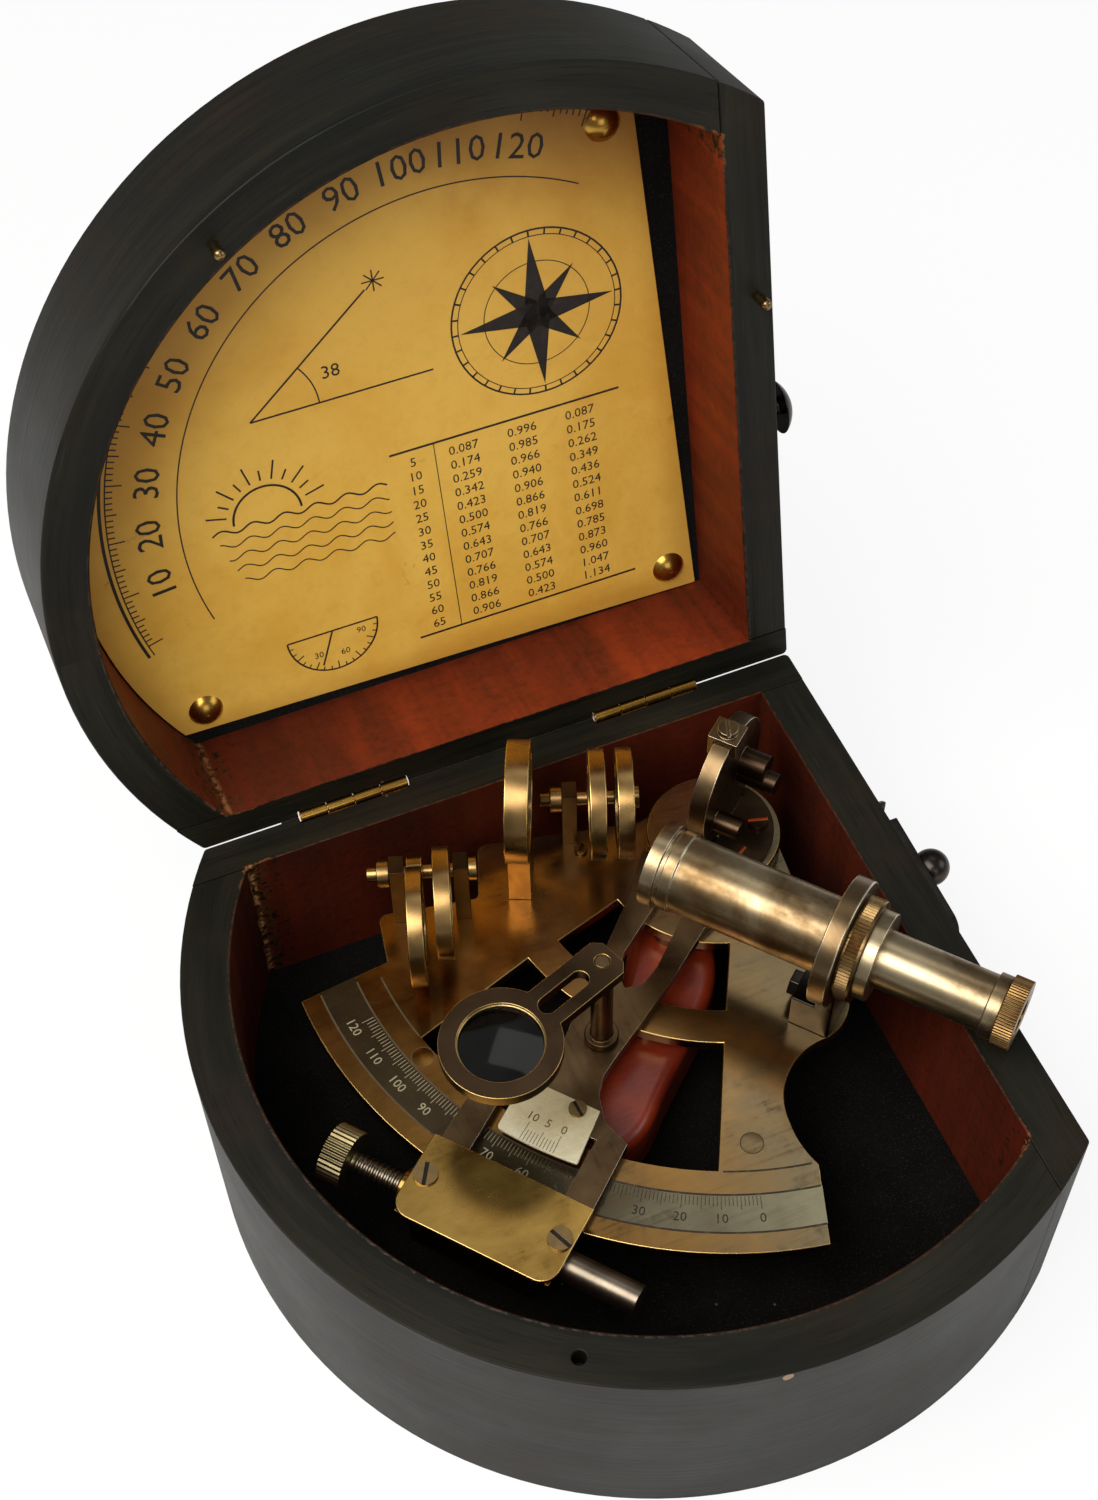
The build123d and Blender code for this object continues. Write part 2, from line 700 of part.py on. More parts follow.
mirror_plane = row_plane(mirror_angle, mirror_x, mirror_y, mirror_z)
mirror_half = mirror_depth / 2
mirror = bar(mirror_plane, -mirror_half, mirror_half, mirror_radius)
mirror += mirror_plane * block(-mirror_block_back, mirror_block_front, mirror_radius * 0.75, mirror_rise,
                               -mirror_half, mirror_half)
mirror -= bar(mirror_plane, -mirror_half + 1.2, mirror_half + 1, mirror_glass_radius)
pieces["horizon_mirror_frame"] = mirror
pieces["horizon_mirror_glass"] = bar(
    mirror_plane, -mirror_half + 1.2, -mirror_half + 3.2, mirror_glass_radius
)


# ---------------------------------------------------------------- shades
def shade(plane, at, thick, radius, reach, raised):
    """Ring with a lug round its bolt, and its glass; raised in degrees."""
    centre = (reach * cos(radians(raised)), -reach * sin(radians(raised)))
    place = plane * Pos(0, 0, at)
    half = thick / 2
    ring = Pos(*centre) * Cylinder(radius, thick)
    ring += Cylinder(shade_bolt_radius + 1.8, thick)
    ring -= Pos(*centre) * Cylinder(shade_glass_radius, thick + 2)
    ring -= Cylinder(shade_bolt_radius + shade_bolt_play, thick + 2)
    glass = Pos(*centre) * Cylinder(shade_glass_radius, shade_glass_thick)
    return place * ring, place * glass


index_plane = row_plane(index_angle, index_bolt_x, index_bolt_y, index_bolt_z)
for number, at in enumerate(index_shade_at):
    ring, glass = shade(
        index_plane, at, index_shade_thick, index_shade_radius, index_shade_reach, index_shade_raise
    )
    pieces["index_shade_%d_ring" % (number + 1)] = ring
    pieces["index_shade_%d_glass" % (number + 1)] = glass

horizon_plane = row_plane(horizon_angle, horizon_bolt_x, horizon_bolt_y, horizon_bolt_z)
for number, at in enumerate(horizon_shade_at):
    ring, glass = shade(
        horizon_plane, at, horizon_shade_thick, horizon_shade_radius[number], horizon_shade_reach,
        horizon_shade_raise[number]
    )
    pieces["horizon_shade_%d_ring" % (number + 1)] = ring
    pieces["horizon_shade_%d_glass" % (number + 1)] = glass


def bolt_block(plane, at, bolt_z):
    """Post that carries a shade bolt, from the plate to just over the bolt."""
    low = bolt_z - plate_top
    body = plane * Pos(0, (low - 3.2) / 2, at) * Box(block_deep, low + 3.2, block_width)
    return body - bar(plane, at - block_width, at + block_width, shade_bolt_radius)


pieces["index_shade_bracket"] = bolt_block(index_plane, index_block_at, index_bolt_z)
pieces["horizon_shade_brackets"] = Compound(
    children=[bolt_block(horizon_plane, at, horizon_bolt_z) for at in horizon_block_at]
)
nut_start = -block_width / 2 - 2.6
index_bolt = bar(index_plane, index_block_at + nut_start - 2.2, index_bolt_end, shade_bolt_radius)
index_bolt += bar(index_plane, index_block_at + nut_start, index_block_at - block_width / 2, 3.0)
index_bolt += bar(index_plane, index_shade_at[1] + index_shade_thick / 2 + 0.3, index_bolt_end, 2.6)
horizon_bolt = bar(horizon_plane, nut_start - 2.2, horizon_bolt_end, shade_bolt_radius)
horizon_bolt += bar(horizon_plane, nut_start, -block_width / 2, 3.0)
horizon_bolt += bar(horizon_plane, horizon_block_at[1] + block_width / 2, horizon_bolt_end, 2.6)
bracket_screw = seat * Pos(*bracket_screw_place, plate_top) * slotted_screw(1.5, 0.9, 50)
pieces["shade_bolts"] = Compound(children=[index_bolt, horizon_bolt, bracket_screw])


# ---------------------------------------------------------------- telescope
scope_dir = (cos(radians(scope_angle)), sin(radians(scope_angle)), 0)
scope_plane = Plane(
    origin=(pivot_x + scope_x, pivot_y + scope_y, scope_z), x_dir=(scope_dir[1], -scope_dir[0], 0), z_dir=scope_dir
)
guide_bore = draw_radius + draw_play
tube = bar(scope_plane, 0, scope_tube_length, scope_tube_radius)
tube += bar(scope_plane, 0, 3.0, scope_flange_radius)
tube += bar(scope_plane, 4.0, 6.5, scope_tube_radius + 0.4)
tube += bar(scope_plane, end_ring_start, scope_tube_length, end_ring_radius)
tube -= bar(scope_plane, -1, holder_at - 2, scope_tube_bore)
tube -= bar(scope_plane, holder_at - 3, scope_tube_length + 1, guide_bore)
pieces["telescope_tube"] = tube
pieces["objective_lens"] = bar(scope_plane, 1.0, 2.8, scope_tube_bore)

collar_start = collar_at - collar_thick / 2
collar_end = collar_at + collar_thick / 2
collar = scope_plane * fluted(collar_radius, 0.35, collar_flutes, collar_start + collar_lip, collar_end - collar_lip)
for start in (collar_start, collar_end - collar_lip):
    collar += bar(scope_plane, start, start + collar_lip, collar_radius - 0.1)
collar -= bar(scope_plane, 0, 80, scope_tube_radius)
pieces["telescope_collar"] = collar

holder_half = holder_thick / 2
holder = bar(scope_plane, holder_at - holder_half, holder_at + holder_half, holder_radius)
holder += scope_plane * block(-holder_foot_half, holder_foot_half, scope_tube_radius, scope_rise,
                              holder_at - holder_half, holder_at + holder_half)
foot_start = holder_at + holder_half - holder_foot_length
holder += scope_plane * block(-holder_foot_half, holder_foot_half, scope_rise - 10.0, scope_rise,
                              foot_start, holder_at + holder_half)
holder -= bar(scope_plane, 0, 80, scope_tube_radius)
pieces["telescope_bracket"] = holder
nut_plane = scope_plane * Pos(0, scope_rise - 5.0, foot_start - 2.4)
nut = nut_plane * extrude(RegularPolygon(nut_radius, 6), amount=2.4)
pieces["bracket_nut"] = nut

draw = bar(scope_plane, draw_inner_end, cap_at, draw_radius) + bar(scope_plane, sleeve_at, cap_at, sleeve_radius)
draw -= bar(scope_plane, draw_inner_end - 1, cap_at + 1, draw_bore)
pieces["draw_tube"] = draw
cap = scope_plane * fluted(cap_radius, 0.3, cap_flutes, cap_at, cap_at + cap_thick)
cap -= bar(scope_plane, cap_at - 1, cap_at + cap_thick + 1, 3.6)
pieces["eyepiece_cap"] = cap
pieces["eyepiece_lens"] = bar(scope_plane, cap_at + 0.6, cap_at + 2.2, 3.6)


# ---------------------------------------------------------------- index arm (local x along the arm)
left_side = [
    (10.0, -12.6), (22.3, -9.8), (36.1, -8.4), (50.0, -7.3), (60.0, -5.9), (65.0, -5.6), (69.5, -6.8),
    (74.5, -10.7), (76.9, -17.1), (92.0, -17.5), (arm_end, -17.5),
]
right_side = [
    (arm_end, 17.5), (92.0, 17.5), (76.9, 17.1), (74.5, 10.7), (69.5, 6.8), (65.0, 5.6), (60.0, 5.9), (50.0, 7.0),
    (36.1, 8.2), (22.6, 8.6), (10.0, 12.0),
]
arm = plate(left_side + right_side, arm_bottom, arm_top)
arm += upright(0, 0, arm_bottom, arm_top, disc_radius)
arm -= plate([(16.0, -3.3), (23.5, -3.7), (36.1, -4.2), (41.5, -3.0), (44.0, 0.0), (41.5, 3.0), (36.1, 3.8),
              (22.8, 3.0), (16.0, 3.0)], arm_bottom - 1, arm_top + 1)
arm -= block(79.0, clamp_start + 0.3, -11.0, 11.0, arm_bottom - 1, arm_top + 1)
arm -= upright(0, 0, arm_bottom - 1, arm_top + 1, axle_radius + axle_play)
pieces["index_arm"] = arm_seat * arm
disc_top = arm_top + disc_thick
pieces["pivot_disc"] = arm_seat * upright(0, 0, arm_top, disc_top, disc_radius)

foot = upright(0, 0, disc_top, disc_top + foot_thick, foot_radius)
foot &= block(-20, 20, -3.0, 20, disc_top, disc_top + foot_thick)
index_z = disc_top + foot_thick + index_ring_radius - 0.5
index_mirror_plane = Plane(origin=(-index_ring_back, 0, index_z), x_dir=(1, 0, 0), z_dir=(0, -1, 0))
ring_half = index_ring_depth / 2
index_ring = bar(index_mirror_plane, -ring_half, ring_half, index_ring_radius)
index_ring += block(-index_ring_back - 6, -index_ring_back + 6, -ring_half, ring_half,
                    disc_top + foot_thick, disc_top + foot_thick + 3)
index_ring -= bar(index_mirror_plane, -ring_half + 1.2, ring_half + 1, index_glass_radius)
for dx, dz, length, radius in index_stubs:
    stub_plane = Plane(origin=(-index_ring_back + dx, 0, index_z + dz), x_dir=(1, 0, 0), z_dir=(0, 1, 0))
    index_ring += bar(stub_plane, ring_half - 0.2, ring_half + length, radius)
pieces["index_mirror_frame"] = arm_seat * (index_ring + foot)
pieces["index_mirror_glass"] = arm_seat * bar(
    index_mirror_plane, -ring_half + 1.2, -ring_half + 3.0, index_glass_radius
)
clip_top = index_z + index_ring_radius + clip_lift
clip_half = clip_width / 2
clip_x = -index_ring_back
clip_side = ring_half + 0.15
clip = block(clip_x - clip_half, clip_x + clip_half, -clip_side - clip_thick, clip_side + clip_thick,
             clip_top, clip_top + clip_thick)
for side, drop in ((-1, 5.0), (1, 3.0)):
    y0, y1 = sorted((side * clip_side, side * (clip_side + clip_thick)))
    clip += block(clip_x - clip_half, clip_x + clip_half, y0, y1, clip_top - drop, clip_top + clip_thick)
clip += upright(clip_x, 0, clip_top - clip_lift, clip_top + clip_thick, 1.2)
clip += Pos(clip_x, 0, clip_top + clip_thick) * slotted_screw(2.2, 1.4, 30)
pieces["index_mirror_clip"] = arm_seat * clip

low_side, high_side = polar(vernier_outer, -5.6), polar(vernier_outer, 6.8)
vernier = outline_of([low_side, (79.7, -8.5), (vernier_inner, -7.6), (vernier_inner, 8.9), high_side])
vernier.append(ThreePointArc(high_side, polar(vernier_outer, 0.6), low_side))
vernier = extrude(Pos(0, 0, arm_top) * make_face(vernier), amount=vernier_thick)
vernier = fillet(vernier.edges().filter_by(Axis.Z).group_by(Axis.X)[-1], vernier_corner)
pieces["vernier_plate"] = arm_seat * vernier

clamp_plate_bottom = clamp_plate_top - clamp_plate_thick
clamp_top = block(clamp_start, clamp_end, -clamp_half, clamp_half, clamp_plate_bottom, clamp_plate_top)
clamp_top = fillet(clamp_top.edges().filter_by(Axis.Z).group_by(Axis.X)[-1], 4.0)
pieces["clamp_plate"] = arm_seat * clamp_top
clamp_inner = limb_outer + 0.4
screw_line = Plane(origin=(screw_along, 0, screw_height), x_dir=(1, 0, 0), z_dir=(0, 1, 0))
clamp = block(clamp_inner, clamp_end - 0.8, -clamp_half + 4, clamp_half - 4, clamp_bottom, clamp_plate_bottom)
clamp += block(clamp_start + 0.6, clamp_end - 0.8, -clamp_half + 0.8, clamp_half - 0.8, arm_top, clamp_plate_bottom)
clamp += block(clamp_start + 1.0, clamp_inner + 1, -6, 6, clamp_bottom, plate_bottom - 0.3)
clamp += bar(screw_line, -boss_end, -clamp_half + 4, screw_rod_radius + 0.9)
clamp -= bar(screw_line, -40, 40, screw_rod_radius + screw_play)
pieces["clamp_block"] = arm_seat * clamp

arm_screws = [
    Pos(clamp_screw_at[0], -clamp_screw_at[1], clamp_plate_top) * slotted_screw(clamp_screw_radius, 0.7, 20),
    Pos(clamp_screw_at[0], clamp_screw_at[1], clamp_plate_top) * slotted_screw(clamp_screw_radius, 0.7, 75),
    Pos(74.9, 4.6, arm_top + vernier_thick) * slotted_screw(1.9, 0.8, 55),
    Pos(-5.6, 8.3, disc_top + foot_thick) * slotted_screw(foot_screw_radius, 1.0, 125),
    Pos(4.3, 8.5, disc_top + foot_thick) * slotted_screw(foot_screw_radius, 1.0, 170),
]
pieces["arm_screws"] = Compound(children=[arm_seat * shape for shape in arm_screws])

spindle = bar(screw_line, -boss_end - 0.15, rod_end, screw_rod_radius)
knob_in = -knob_centre + knob_thick / 2
grooves = int((knob_centre - knob_thick / 2 - boss_end) / screw_thread_pitch)
spindle += bar(screw_line, knob_in, -boss_end, screw_thread_radius - 0.35)
for k in range(grooves):
    at = -boss_end - (k + 0.75) * screw_thread_pitch
    spindle += bar(screw_line, at - 0.3, at + 0.3, screw_thread_radius)
spindle += screw_line * fluted(knob_radius, 0.45, 36, -knob_centre - knob_thick / 2, knob_in)
pieces["tangent_screw"] = arm_seat * spindle

magnifier_post = upright(post_along, post_across, arm_top, post_top, post_radius)
magnifier_post += upright(post_along, post_across, arm_top, arm_top + 2.0, post_radius + 1.3)
plate_z0 = post_top + 0.1
plate_z1 = plate_z0 + magnifier_plate_thick
magnifier_post += upright(post_along, post_across, post_top, plate_z1 + 0.05, rivet_radius)
pieces["magnifier_post"] = arm_seat * magnifier_post

lens_dx = magnifier_lens_along - post_along
lens_dy = magnifier_lens_across - post_across
lens_reach = hypot(lens_dx, lens_dy)
lens_angle = degrees(turn_of(lens_dx, lens_dy))
chamfered = magnifier_end - 1.8
magnifier = plate([
    (-magnifier_end, -magnifier_half + 1.8), (-chamfered, -magnifier_half), (lens_reach, -magnifier_half),
    (lens_reach, magnifier_half), (-chamfered, magnifier_half), (-magnifier_end, magnifier_half - 1.8),
], plate_z0, plate_z1)
magnifier += upright(lens_reach, 0, plate_z0, plate_z1, magnifier_ring_radius)
bezel_top = plate_z1 - 0.6
bezel_bottom = plate_z1 - 1.2
magnifier -= upright(lens_reach, 0, plate_z0 - 1, bezel_bottom, magnifier_lens_radius)
magnifier -= upright(lens_reach, 0, bezel_bottom - 0.1, plate_z1 + 1, magnifier_lens_radius - bezel_width)
magnifier -= upright(lens_reach, 0, bezel_top, plate_z1 + 1, magnifier_lens_radius)
magnifier -= upright(0, 0, plate_z0 - 1, plate_z1 + 1, rivet_radius + 0.05)
near, far = magnifier_slot
slot = link((lens_reach - far, 0), (lens_reach - near, 0), magnifier_slot_half, magnifier_slot_half)
magnifier -= extrude(Pos(0, 0, plate_z0 - 1) * slot, amount=magnifier_plate_thick + 2)
lens_place = arm_seat * Pos(post_along, post_across, 0) * Rot(0, 0, lens_angle)
pieces["magnifier_arm"] = lens_place * magnifier
lens_glass = upright(lens_reach, 0, plate_z0 + 0.2, bezel_bottom, magnifier_lens_radius)
lens_glass += Pos(lens_reach, 0, bezel_bottom) * dome(magnifier_lens_radius - bezel_width, 0.7)
pieces["magnifier_lens"] = lens_place * lens_glass


# ---------------------------------------------------------------- written out
os.makedirs("parts", exist_ok=True)
for name, shape in pieces.items():
    export_step(shape, "parts/%s.step" % name)
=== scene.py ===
import json
from math import atan2, cos, degrees, hypot, radians, sin, sqrt

import bmesh
import bpy
from mathutils import Matrix, Quaternion, Vector


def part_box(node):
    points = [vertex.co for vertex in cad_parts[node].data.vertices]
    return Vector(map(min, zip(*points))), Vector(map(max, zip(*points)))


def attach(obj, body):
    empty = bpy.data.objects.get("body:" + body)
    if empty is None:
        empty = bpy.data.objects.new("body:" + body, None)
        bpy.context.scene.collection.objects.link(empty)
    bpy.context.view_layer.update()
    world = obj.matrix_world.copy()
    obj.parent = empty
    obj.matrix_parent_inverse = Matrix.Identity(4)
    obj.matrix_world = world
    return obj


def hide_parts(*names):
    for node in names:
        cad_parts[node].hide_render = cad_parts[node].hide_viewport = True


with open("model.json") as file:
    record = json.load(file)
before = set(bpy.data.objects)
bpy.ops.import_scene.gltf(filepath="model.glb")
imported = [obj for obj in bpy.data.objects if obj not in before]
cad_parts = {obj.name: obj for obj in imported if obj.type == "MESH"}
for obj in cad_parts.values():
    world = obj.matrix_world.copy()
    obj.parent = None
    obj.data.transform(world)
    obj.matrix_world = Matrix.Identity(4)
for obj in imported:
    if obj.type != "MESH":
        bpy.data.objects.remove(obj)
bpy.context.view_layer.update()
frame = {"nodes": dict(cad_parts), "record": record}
MM = 0.001
body_of = {node: body for body, nodes in frame["record"]["behaviour"]["bodies"].items() for node in nodes}
joints = {joint["name"]: joint for joint in frame["record"]["behaviour"]["joints"]}

# ------------------------------------------------------------------ camera, lamps, ground
camera_data = bpy.data.cameras.new("photo_camera")
camera_data.sensor_fit = "VERTICAL"
camera_data.sensor_height = 36.0
camera_data.lens = 54.01
camera_data.clip_start = 0.02
camera = bpy.data.objects.new("photo_camera", camera_data)
camera.location = (-0.110796, -0.228405, 0.461025)
camera.rotation_mode = "QUATERNION"
camera.rotation_quaternion = Quaternion((0.929599, 0.312826, -0.055141, -0.186936))
bpy.context.scene.collection.objects.link(camera)
bpy.context.scene.camera = camera
bpy.context.scene.view_settings.view_transform = "Standard"


# ------------------------------------------------------------------ paint kit
def tint(red, green, blue):
    """Colour given as it is seen, 0 to 255, as the shader takes it."""
    def linear(value):
        value /= 255.0
        return value / 12.92 if value <= 0.04045 else ((value + 0.055) / 1.055) ** 2.4
    return (linear(red), linear(green), linear(blue), 1.0)


class Wire:
    """A socket that takes part in sums."""

    def __init__(self, nodes, socket):
        self.nodes = nodes
        self.socket = socket

    def sum(self, operation, *values):
        return self.nodes.node("ShaderNodeMath", {"operation": operation}, dict(enumerate(values)))

    def __add__(self, other):
        return self.sum("ADD", self, other)

    __radd__ = __add__

    def __sub__(self, other):
        return self.sum("SUBTRACT", self, other)

    def __rsub__(self, other):
        return self.sum("SUBTRACT", other, self)

    def __mul__(self, other):
        return self.sum("MULTIPLY", self, other)

    __rmul__ = __mul__

    def __gt__(self, other):
        return self.sum("GREATER_THAN", self, other)

    def __lt__(self, other):
        return self.sum("LESS_THAN", self, other)

    def least(self, other):
        return self.sum("MINIMUM", self, other)

    def most(self, other):
        return self.sum("MAXIMUM", self, other)

    def between(self, low, high):
        """0 below low, 1 above high, smooth from one to the other."""
        return self.nodes.node(
            "ShaderNodeMapRange", {"interpolation_type": "SMOOTHSTEP"},
            {"Value": self, "From Min": low, "From Max": high},
        )


class Nodes:
    """A node tree that is filled through one method."""

    def __init__(self, tree):
        self.tree = tree

    def node(self, kind, settings, sockets, output=0):
        made = self.tree.nodes.new(kind)
        for name, value in settings.items():
            setattr(made, name, value)
        for name, value in sockets.items():
            if isinstance(value, Wire):
                self.tree.links.new(value.socket, made.inputs[name])
            else:
                made.inputs[name].default_value = value
        return Wire(self, made.outputs[output])


class Paint(Nodes):
    """One material, with the sums and textures that it is made of."""

    def __init__(self, name, **fixed):
        self.material = bpy.data.materials.new(name)
        self.material.use_nodes = True
        super().__init__(self.material.node_tree)
        self.shader = self.tree.nodes["Principled BSDF"]
        for socket, value in fixed.items():
            self.shader.inputs[socket.replace("_", " ")].default_value = value
        self.place = self.node("ShaderNodeTexCoord", {}, {}, "Object")

    def feed(self, socket, wire):
        self.tree.links.new(wire.socket, self.shader.inputs[socket])

    def split(self, vector):
        parts = []
        for axis in "XYZ":
            parts.append(self.node("ShaderNodeSeparateXYZ", {}, {"Vector": vector}, axis))
        return parts

    def join(self, x, y, z):
        return self.node("ShaderNodeCombineXYZ", {}, {"X": x, "Y": y, "Z": z})

    def stretched(self, vector, x, y, z):
        return self.node("ShaderNodeVectorMath", {"operation": "MULTIPLY"}, {0: vector, 1: (x, y, z)})

    def noise(self, vector, scale, detail=4.0, rough=0.55, warp=0.0):
        return self.node(
            "ShaderNodeTexNoise", {},
            {"Vector": vector, "Scale": scale, "Detail": detail, "Roughness": rough, "Distortion": warp},
        )

    def length(self, x, y):
        """Distance of a flat place from the case's middle line."""
        flat = self.join(x, y, 0.0)
        return self.node("ShaderNodeVectorMath", {"operation": "LENGTH"}, {0: flat}, "Value")

    def distance(self, place, spot):
        return self.node("ShaderNodeVectorMath", {"operation": "DISTANCE"}, {0: place, 1: spot}, "Value")

    def specks(self, place, scale):
        """Distance to the nearest of many scattered points."""
        return self.node(
            "ShaderNodeTexVoronoi", {"feature": "F1"}, {"Vector": place, "Scale": scale}, "Distance"
        )

    def blend(self, amount, first, second):
        """Colour that goes from first to second."""
        return self.node(
            "ShaderNodeMix", {"data_type": "RGBA", "blend_type": "MIX"}, {0: amount, 6: first, 7: second}, 2
        )

    def bumps(self, height, distance, strength):
        sockets = {"Height": height, "Distance": distance, "Strength": strength}
        return self.node("ShaderNodeBump", {}, sockets)


# ------------------------------------------------------------------ places taken from the model
hinge = joints["lid_hinge"]["pos_m"]
lid_angle = radians(joints["lid_hinge"]["range_deg"][1])
opened = (
    Matrix.Translation(hinge) @ Matrix.Rotation(-lid_angle, 4, "X") @ Matrix.Translation(-Vector(hinge))
)
corner_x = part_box("base_back_wall")[1][0]
corner_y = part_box("base_back_wall")[1][1]
base_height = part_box("base_back_wall")[1][2]
arm_pivot = Vector(joints["arm_swing"]["pos_m"])
plate_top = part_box("limb_scale")[1][2]
ARM_ANGLE = radians(219.7)
arm_place = Matrix.Translation((arm_pivot.x, arm_pivot.y, 0)) @ Matrix.Rotation(ARM_ANGLE, 4, "Z")


# ------------------------------------------------------------------ woods
def case_place(paint, in_lid):
    """Place of a point in the closed case, also for the lid, which stands open."""
    if not in_lid:
        return paint.place
    shifted = paint.node(
        "ShaderNodeMapping", {"vector_type": "POINT"},
        {"Vector": paint.place, "Location": (0.0, -hinge[1], -hinge[2])},
    )
    return paint.node(
        "ShaderNodeMapping", {"vector_type": "POINT"},
        {"Vector": shifted, "Rotation": (lid_angle, 0.0, 0.0), "Location": (0.0, hinge[1], hinge[2])},
    )


def wood(name, run, walls, in_lid, inner, inner_dark, seed):
    """Dark stained outside and rims, red-brown bare inside; the grain runs along the wall."""
    paint = Paint(name, Roughness=0.45, Specular_IOR_Level=0.2)
    place = case_place(paint, in_lid)
    x, y, z = paint.split(place)
    radius = paint.length(x, y)
    back, right, curved = walls
    # room left to each wall's inner face; all three above nothing means inside the case
    depth = ((corner_y - back) - y).least((corner_x - right) - x).least((CASE_RADIUS - curved) - radius)
    depth = depth.least(z - (PANEL_LOW - PANEL_SPARE)).least((PANEL_HIGH + PANEL_SPARE) - z)
    if run == "curve":
        along = y.sum("ARCTAN2", y, x) * CASE_RADIUS
        across = radius
    elif run == "x":
        along, across = x, y
    else:
        along, across = y, x
    grain = paint.join(along * 14.0 + seed, z * 240.0, across * 240.0)
    streak = paint.noise(grain, 1.0, 5.0, 0.6, 0.4)
    fine = paint.noise(paint.join(along * 55.0 + seed, z * 1500.0, across * 1500.0), 1.0, 3.0, 0.7)
    mottle = paint.noise(place, 38.0, 4.0, 0.6)
    cloud = paint.noise(place, 13.0, 3.0, 0.5)
    dark = paint.blend(streak.between(0.3, 0.75), OUTSIDE_DARK, OUTSIDE_LIGHT)
    dark = paint.blend(mottle.between(0.45, 0.8) * 0.55, dark, OUTSIDE_BROWN)
    dark = paint.blend(cloud.between(0.52, 0.75) * 0.3, dark, OUTSIDE_GREY)
    dark = paint.blend(fine.between(0.52, 0.72) * 0.7, dark, OUTSIDE_PORE)
    dark = paint.blend((1.0 - fine).between(0.6, 0.78) * 0.5, dark, OUTSIDE_GREY)
    upright = paint.noise(paint.join(along * 110.0 + seed, z * 9.0, across * 40.0), 1.0, 5.0, 0.62, 0.3)
    red = paint.blend((upright * 0.35 + cloud * 0.65).between(0.34, 0.66), inner_dark, inner)
    red = paint.blend(streak.between(0.5, 0.8) * 0.4, red, inner_dark)
    red = paint.blend(mottle.between(0.55, 0.85) * 0.5, red, INSIDE_STAIN)
    red = paint.blend(fine.between(0.62, 0.8) * 0.35, red, INSIDE_STAIN)
    chips = paint.noise(paint.join(along * 520.0 + seed, z * 520.0, across * 520.0), 1.0, 3.0, 0.6)
    rag = paint.noise(paint.join(along * 150.0 + seed, 0.0, 0.0), 1.0, 4.0, 0.7)
    torn = splinter = None
    for px, py in TORN:
        away = paint.distance(paint.join(x, y, 0.0), (px, py, 0.0))
        near = 1.0 - away.between(0.001, 0.009)
        torn = near if torn is None else torn.most(near)
        line = 1.0 - (away + (rag - 0.5) * 0.002).between(0.0004, 0.0013)
        splinter = line if splinter is None else splinter.most(line)
    edge = depth + (rag - 0.5) * (0.0004 + torn * 0.0022) + (chips - 0.5) * (0.0003 + torn * 0.0014)
    inside = edge.between(-0.0003, 0.0001)
    bare = edge.between(-0.00075, -0.0003) * (1.0 - inside) * chips.between(0.36, 0.6)
    colour = paint.blend(inside, dark, red)
    colour = paint.blend(bare * (0.16 + torn * 0.7), colour, BARE)
    colour = paint.blend(splinter * inside * chips.between(0.5, 0.56) * 0.85, colour, SPLINTER)
    from_chip = paint.distance(place, CHIP_AT)
    chip = 1.0 - (from_chip + (chips - 0.5) * 0.0014).between(0.0011, 0.0013)
    colour = paint.blend(chip * 0.9, colour, CHIP)
    chipped = (paint.specks(place, 210.0) < 0.07) * (mottle > 0.66)
    colour = paint.blend(chipped * 0.7, colour, SPECK)
    paint.feed("Base Color", colour)
    paint.feed("Roughness", 0.34 + mottle * 0.24 + inside * 0.2)
    relief = paint.bumps(streak + fine * 0.6 + chips * bare * 3.0, 0.00018, 0.5)
    paint.feed("Normal", relief)
    return paint.material


CASE_RADIUS = -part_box("base_curved_wall")[0][0]
OUTSIDE_DARK, OUTSIDE_LIGHT = tint(14, 14, 8), tint(32, 30, 20)
OUTSIDE_BROWN, OUTSIDE_GREY, OUTSIDE_PORE = tint(44, 28, 15), tint(52, 51, 39), tint(6, 5, 3)
CHIP_AT, CHIP = (-0.0149, -0.0973, base_height - 0.0016), tint(176, 142, 112)
INSIDE_STAIN, BARE, SPECK = tint(28, 8, 4), tint(122, 74, 36), tint(96, 80, 60)
SPLINTER = tint(186, 138, 92)
# inner faces of the two panels in the closed case, and how far past them counts as inside
PANEL_SPARE = 0.0006
PANEL_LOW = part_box("base_bottom_panel")[1][2]
panel_corners = frame["nodes"]["lid_top_panel"].data.vertices
PANEL_HIGH = min((opened.inverted() @ vert.co).z for vert in panel_corners)
# thickness of the back, right and curved walls
BASE_WALLS = (0.008, 0.0105, 0.0105)
LID_WALLS = (0.007, 0.0095, 0.0095)
base_inner_radius = CASE_RADIUS - BASE_WALLS[2]
base_inner_x, base_inner_y = corner_x - BASE_WALLS[1], corner_y - BASE_WALLS[0]
# the two inner corners where the curved wall ends, whose edges are torn
TORN = (
    (-sqrt(base_inner_radius ** 2 - base_inner_y ** 2), base_inner_y),
    (base_inner_x, -sqrt(base_inner_radius ** 2 - base_inner_x ** 2)),
)
# one red-brown inside wood in two copies: the base's is darker, with the shade inside the box painted in, and
# the lid's is the lit copy
base_inner_red_shaded = (tint(104, 34, 12), tint(56, 16, 5))
lid_inner_red_lit = (tint(148, 54, 18), tint(84, 27, 8))
woods = {}
for number, (run, side) in enumerate((("x", "back"), ("y", "right"), ("curve", "curved"), ("x", "panel"))):
    woods["base_" + side] = wood("base_wood_" + side, run, BASE_WALLS, False, *base_inner_red_shaded, 3.1 * number)
    woods["lid_" + side] = wood("lid_wood_" + side, run, LID_WALLS, True, *lid_inner_red_lit, 7.7 + 3.1 * number)


# ------------------------------------------------------------------ metals
# how densely the brush lines lie along X, Y and Z
EVEN = (150.0, 150.0, 150.0)
BRUSH_X, BRUSH_Y = (60.0, 1100.0, 600.0), (1100.0, 60.0, 600.0)
BRUSH_SCOPE, SCOPE_TURN = (26.0, 420.0, 420.0), radians(50.4)


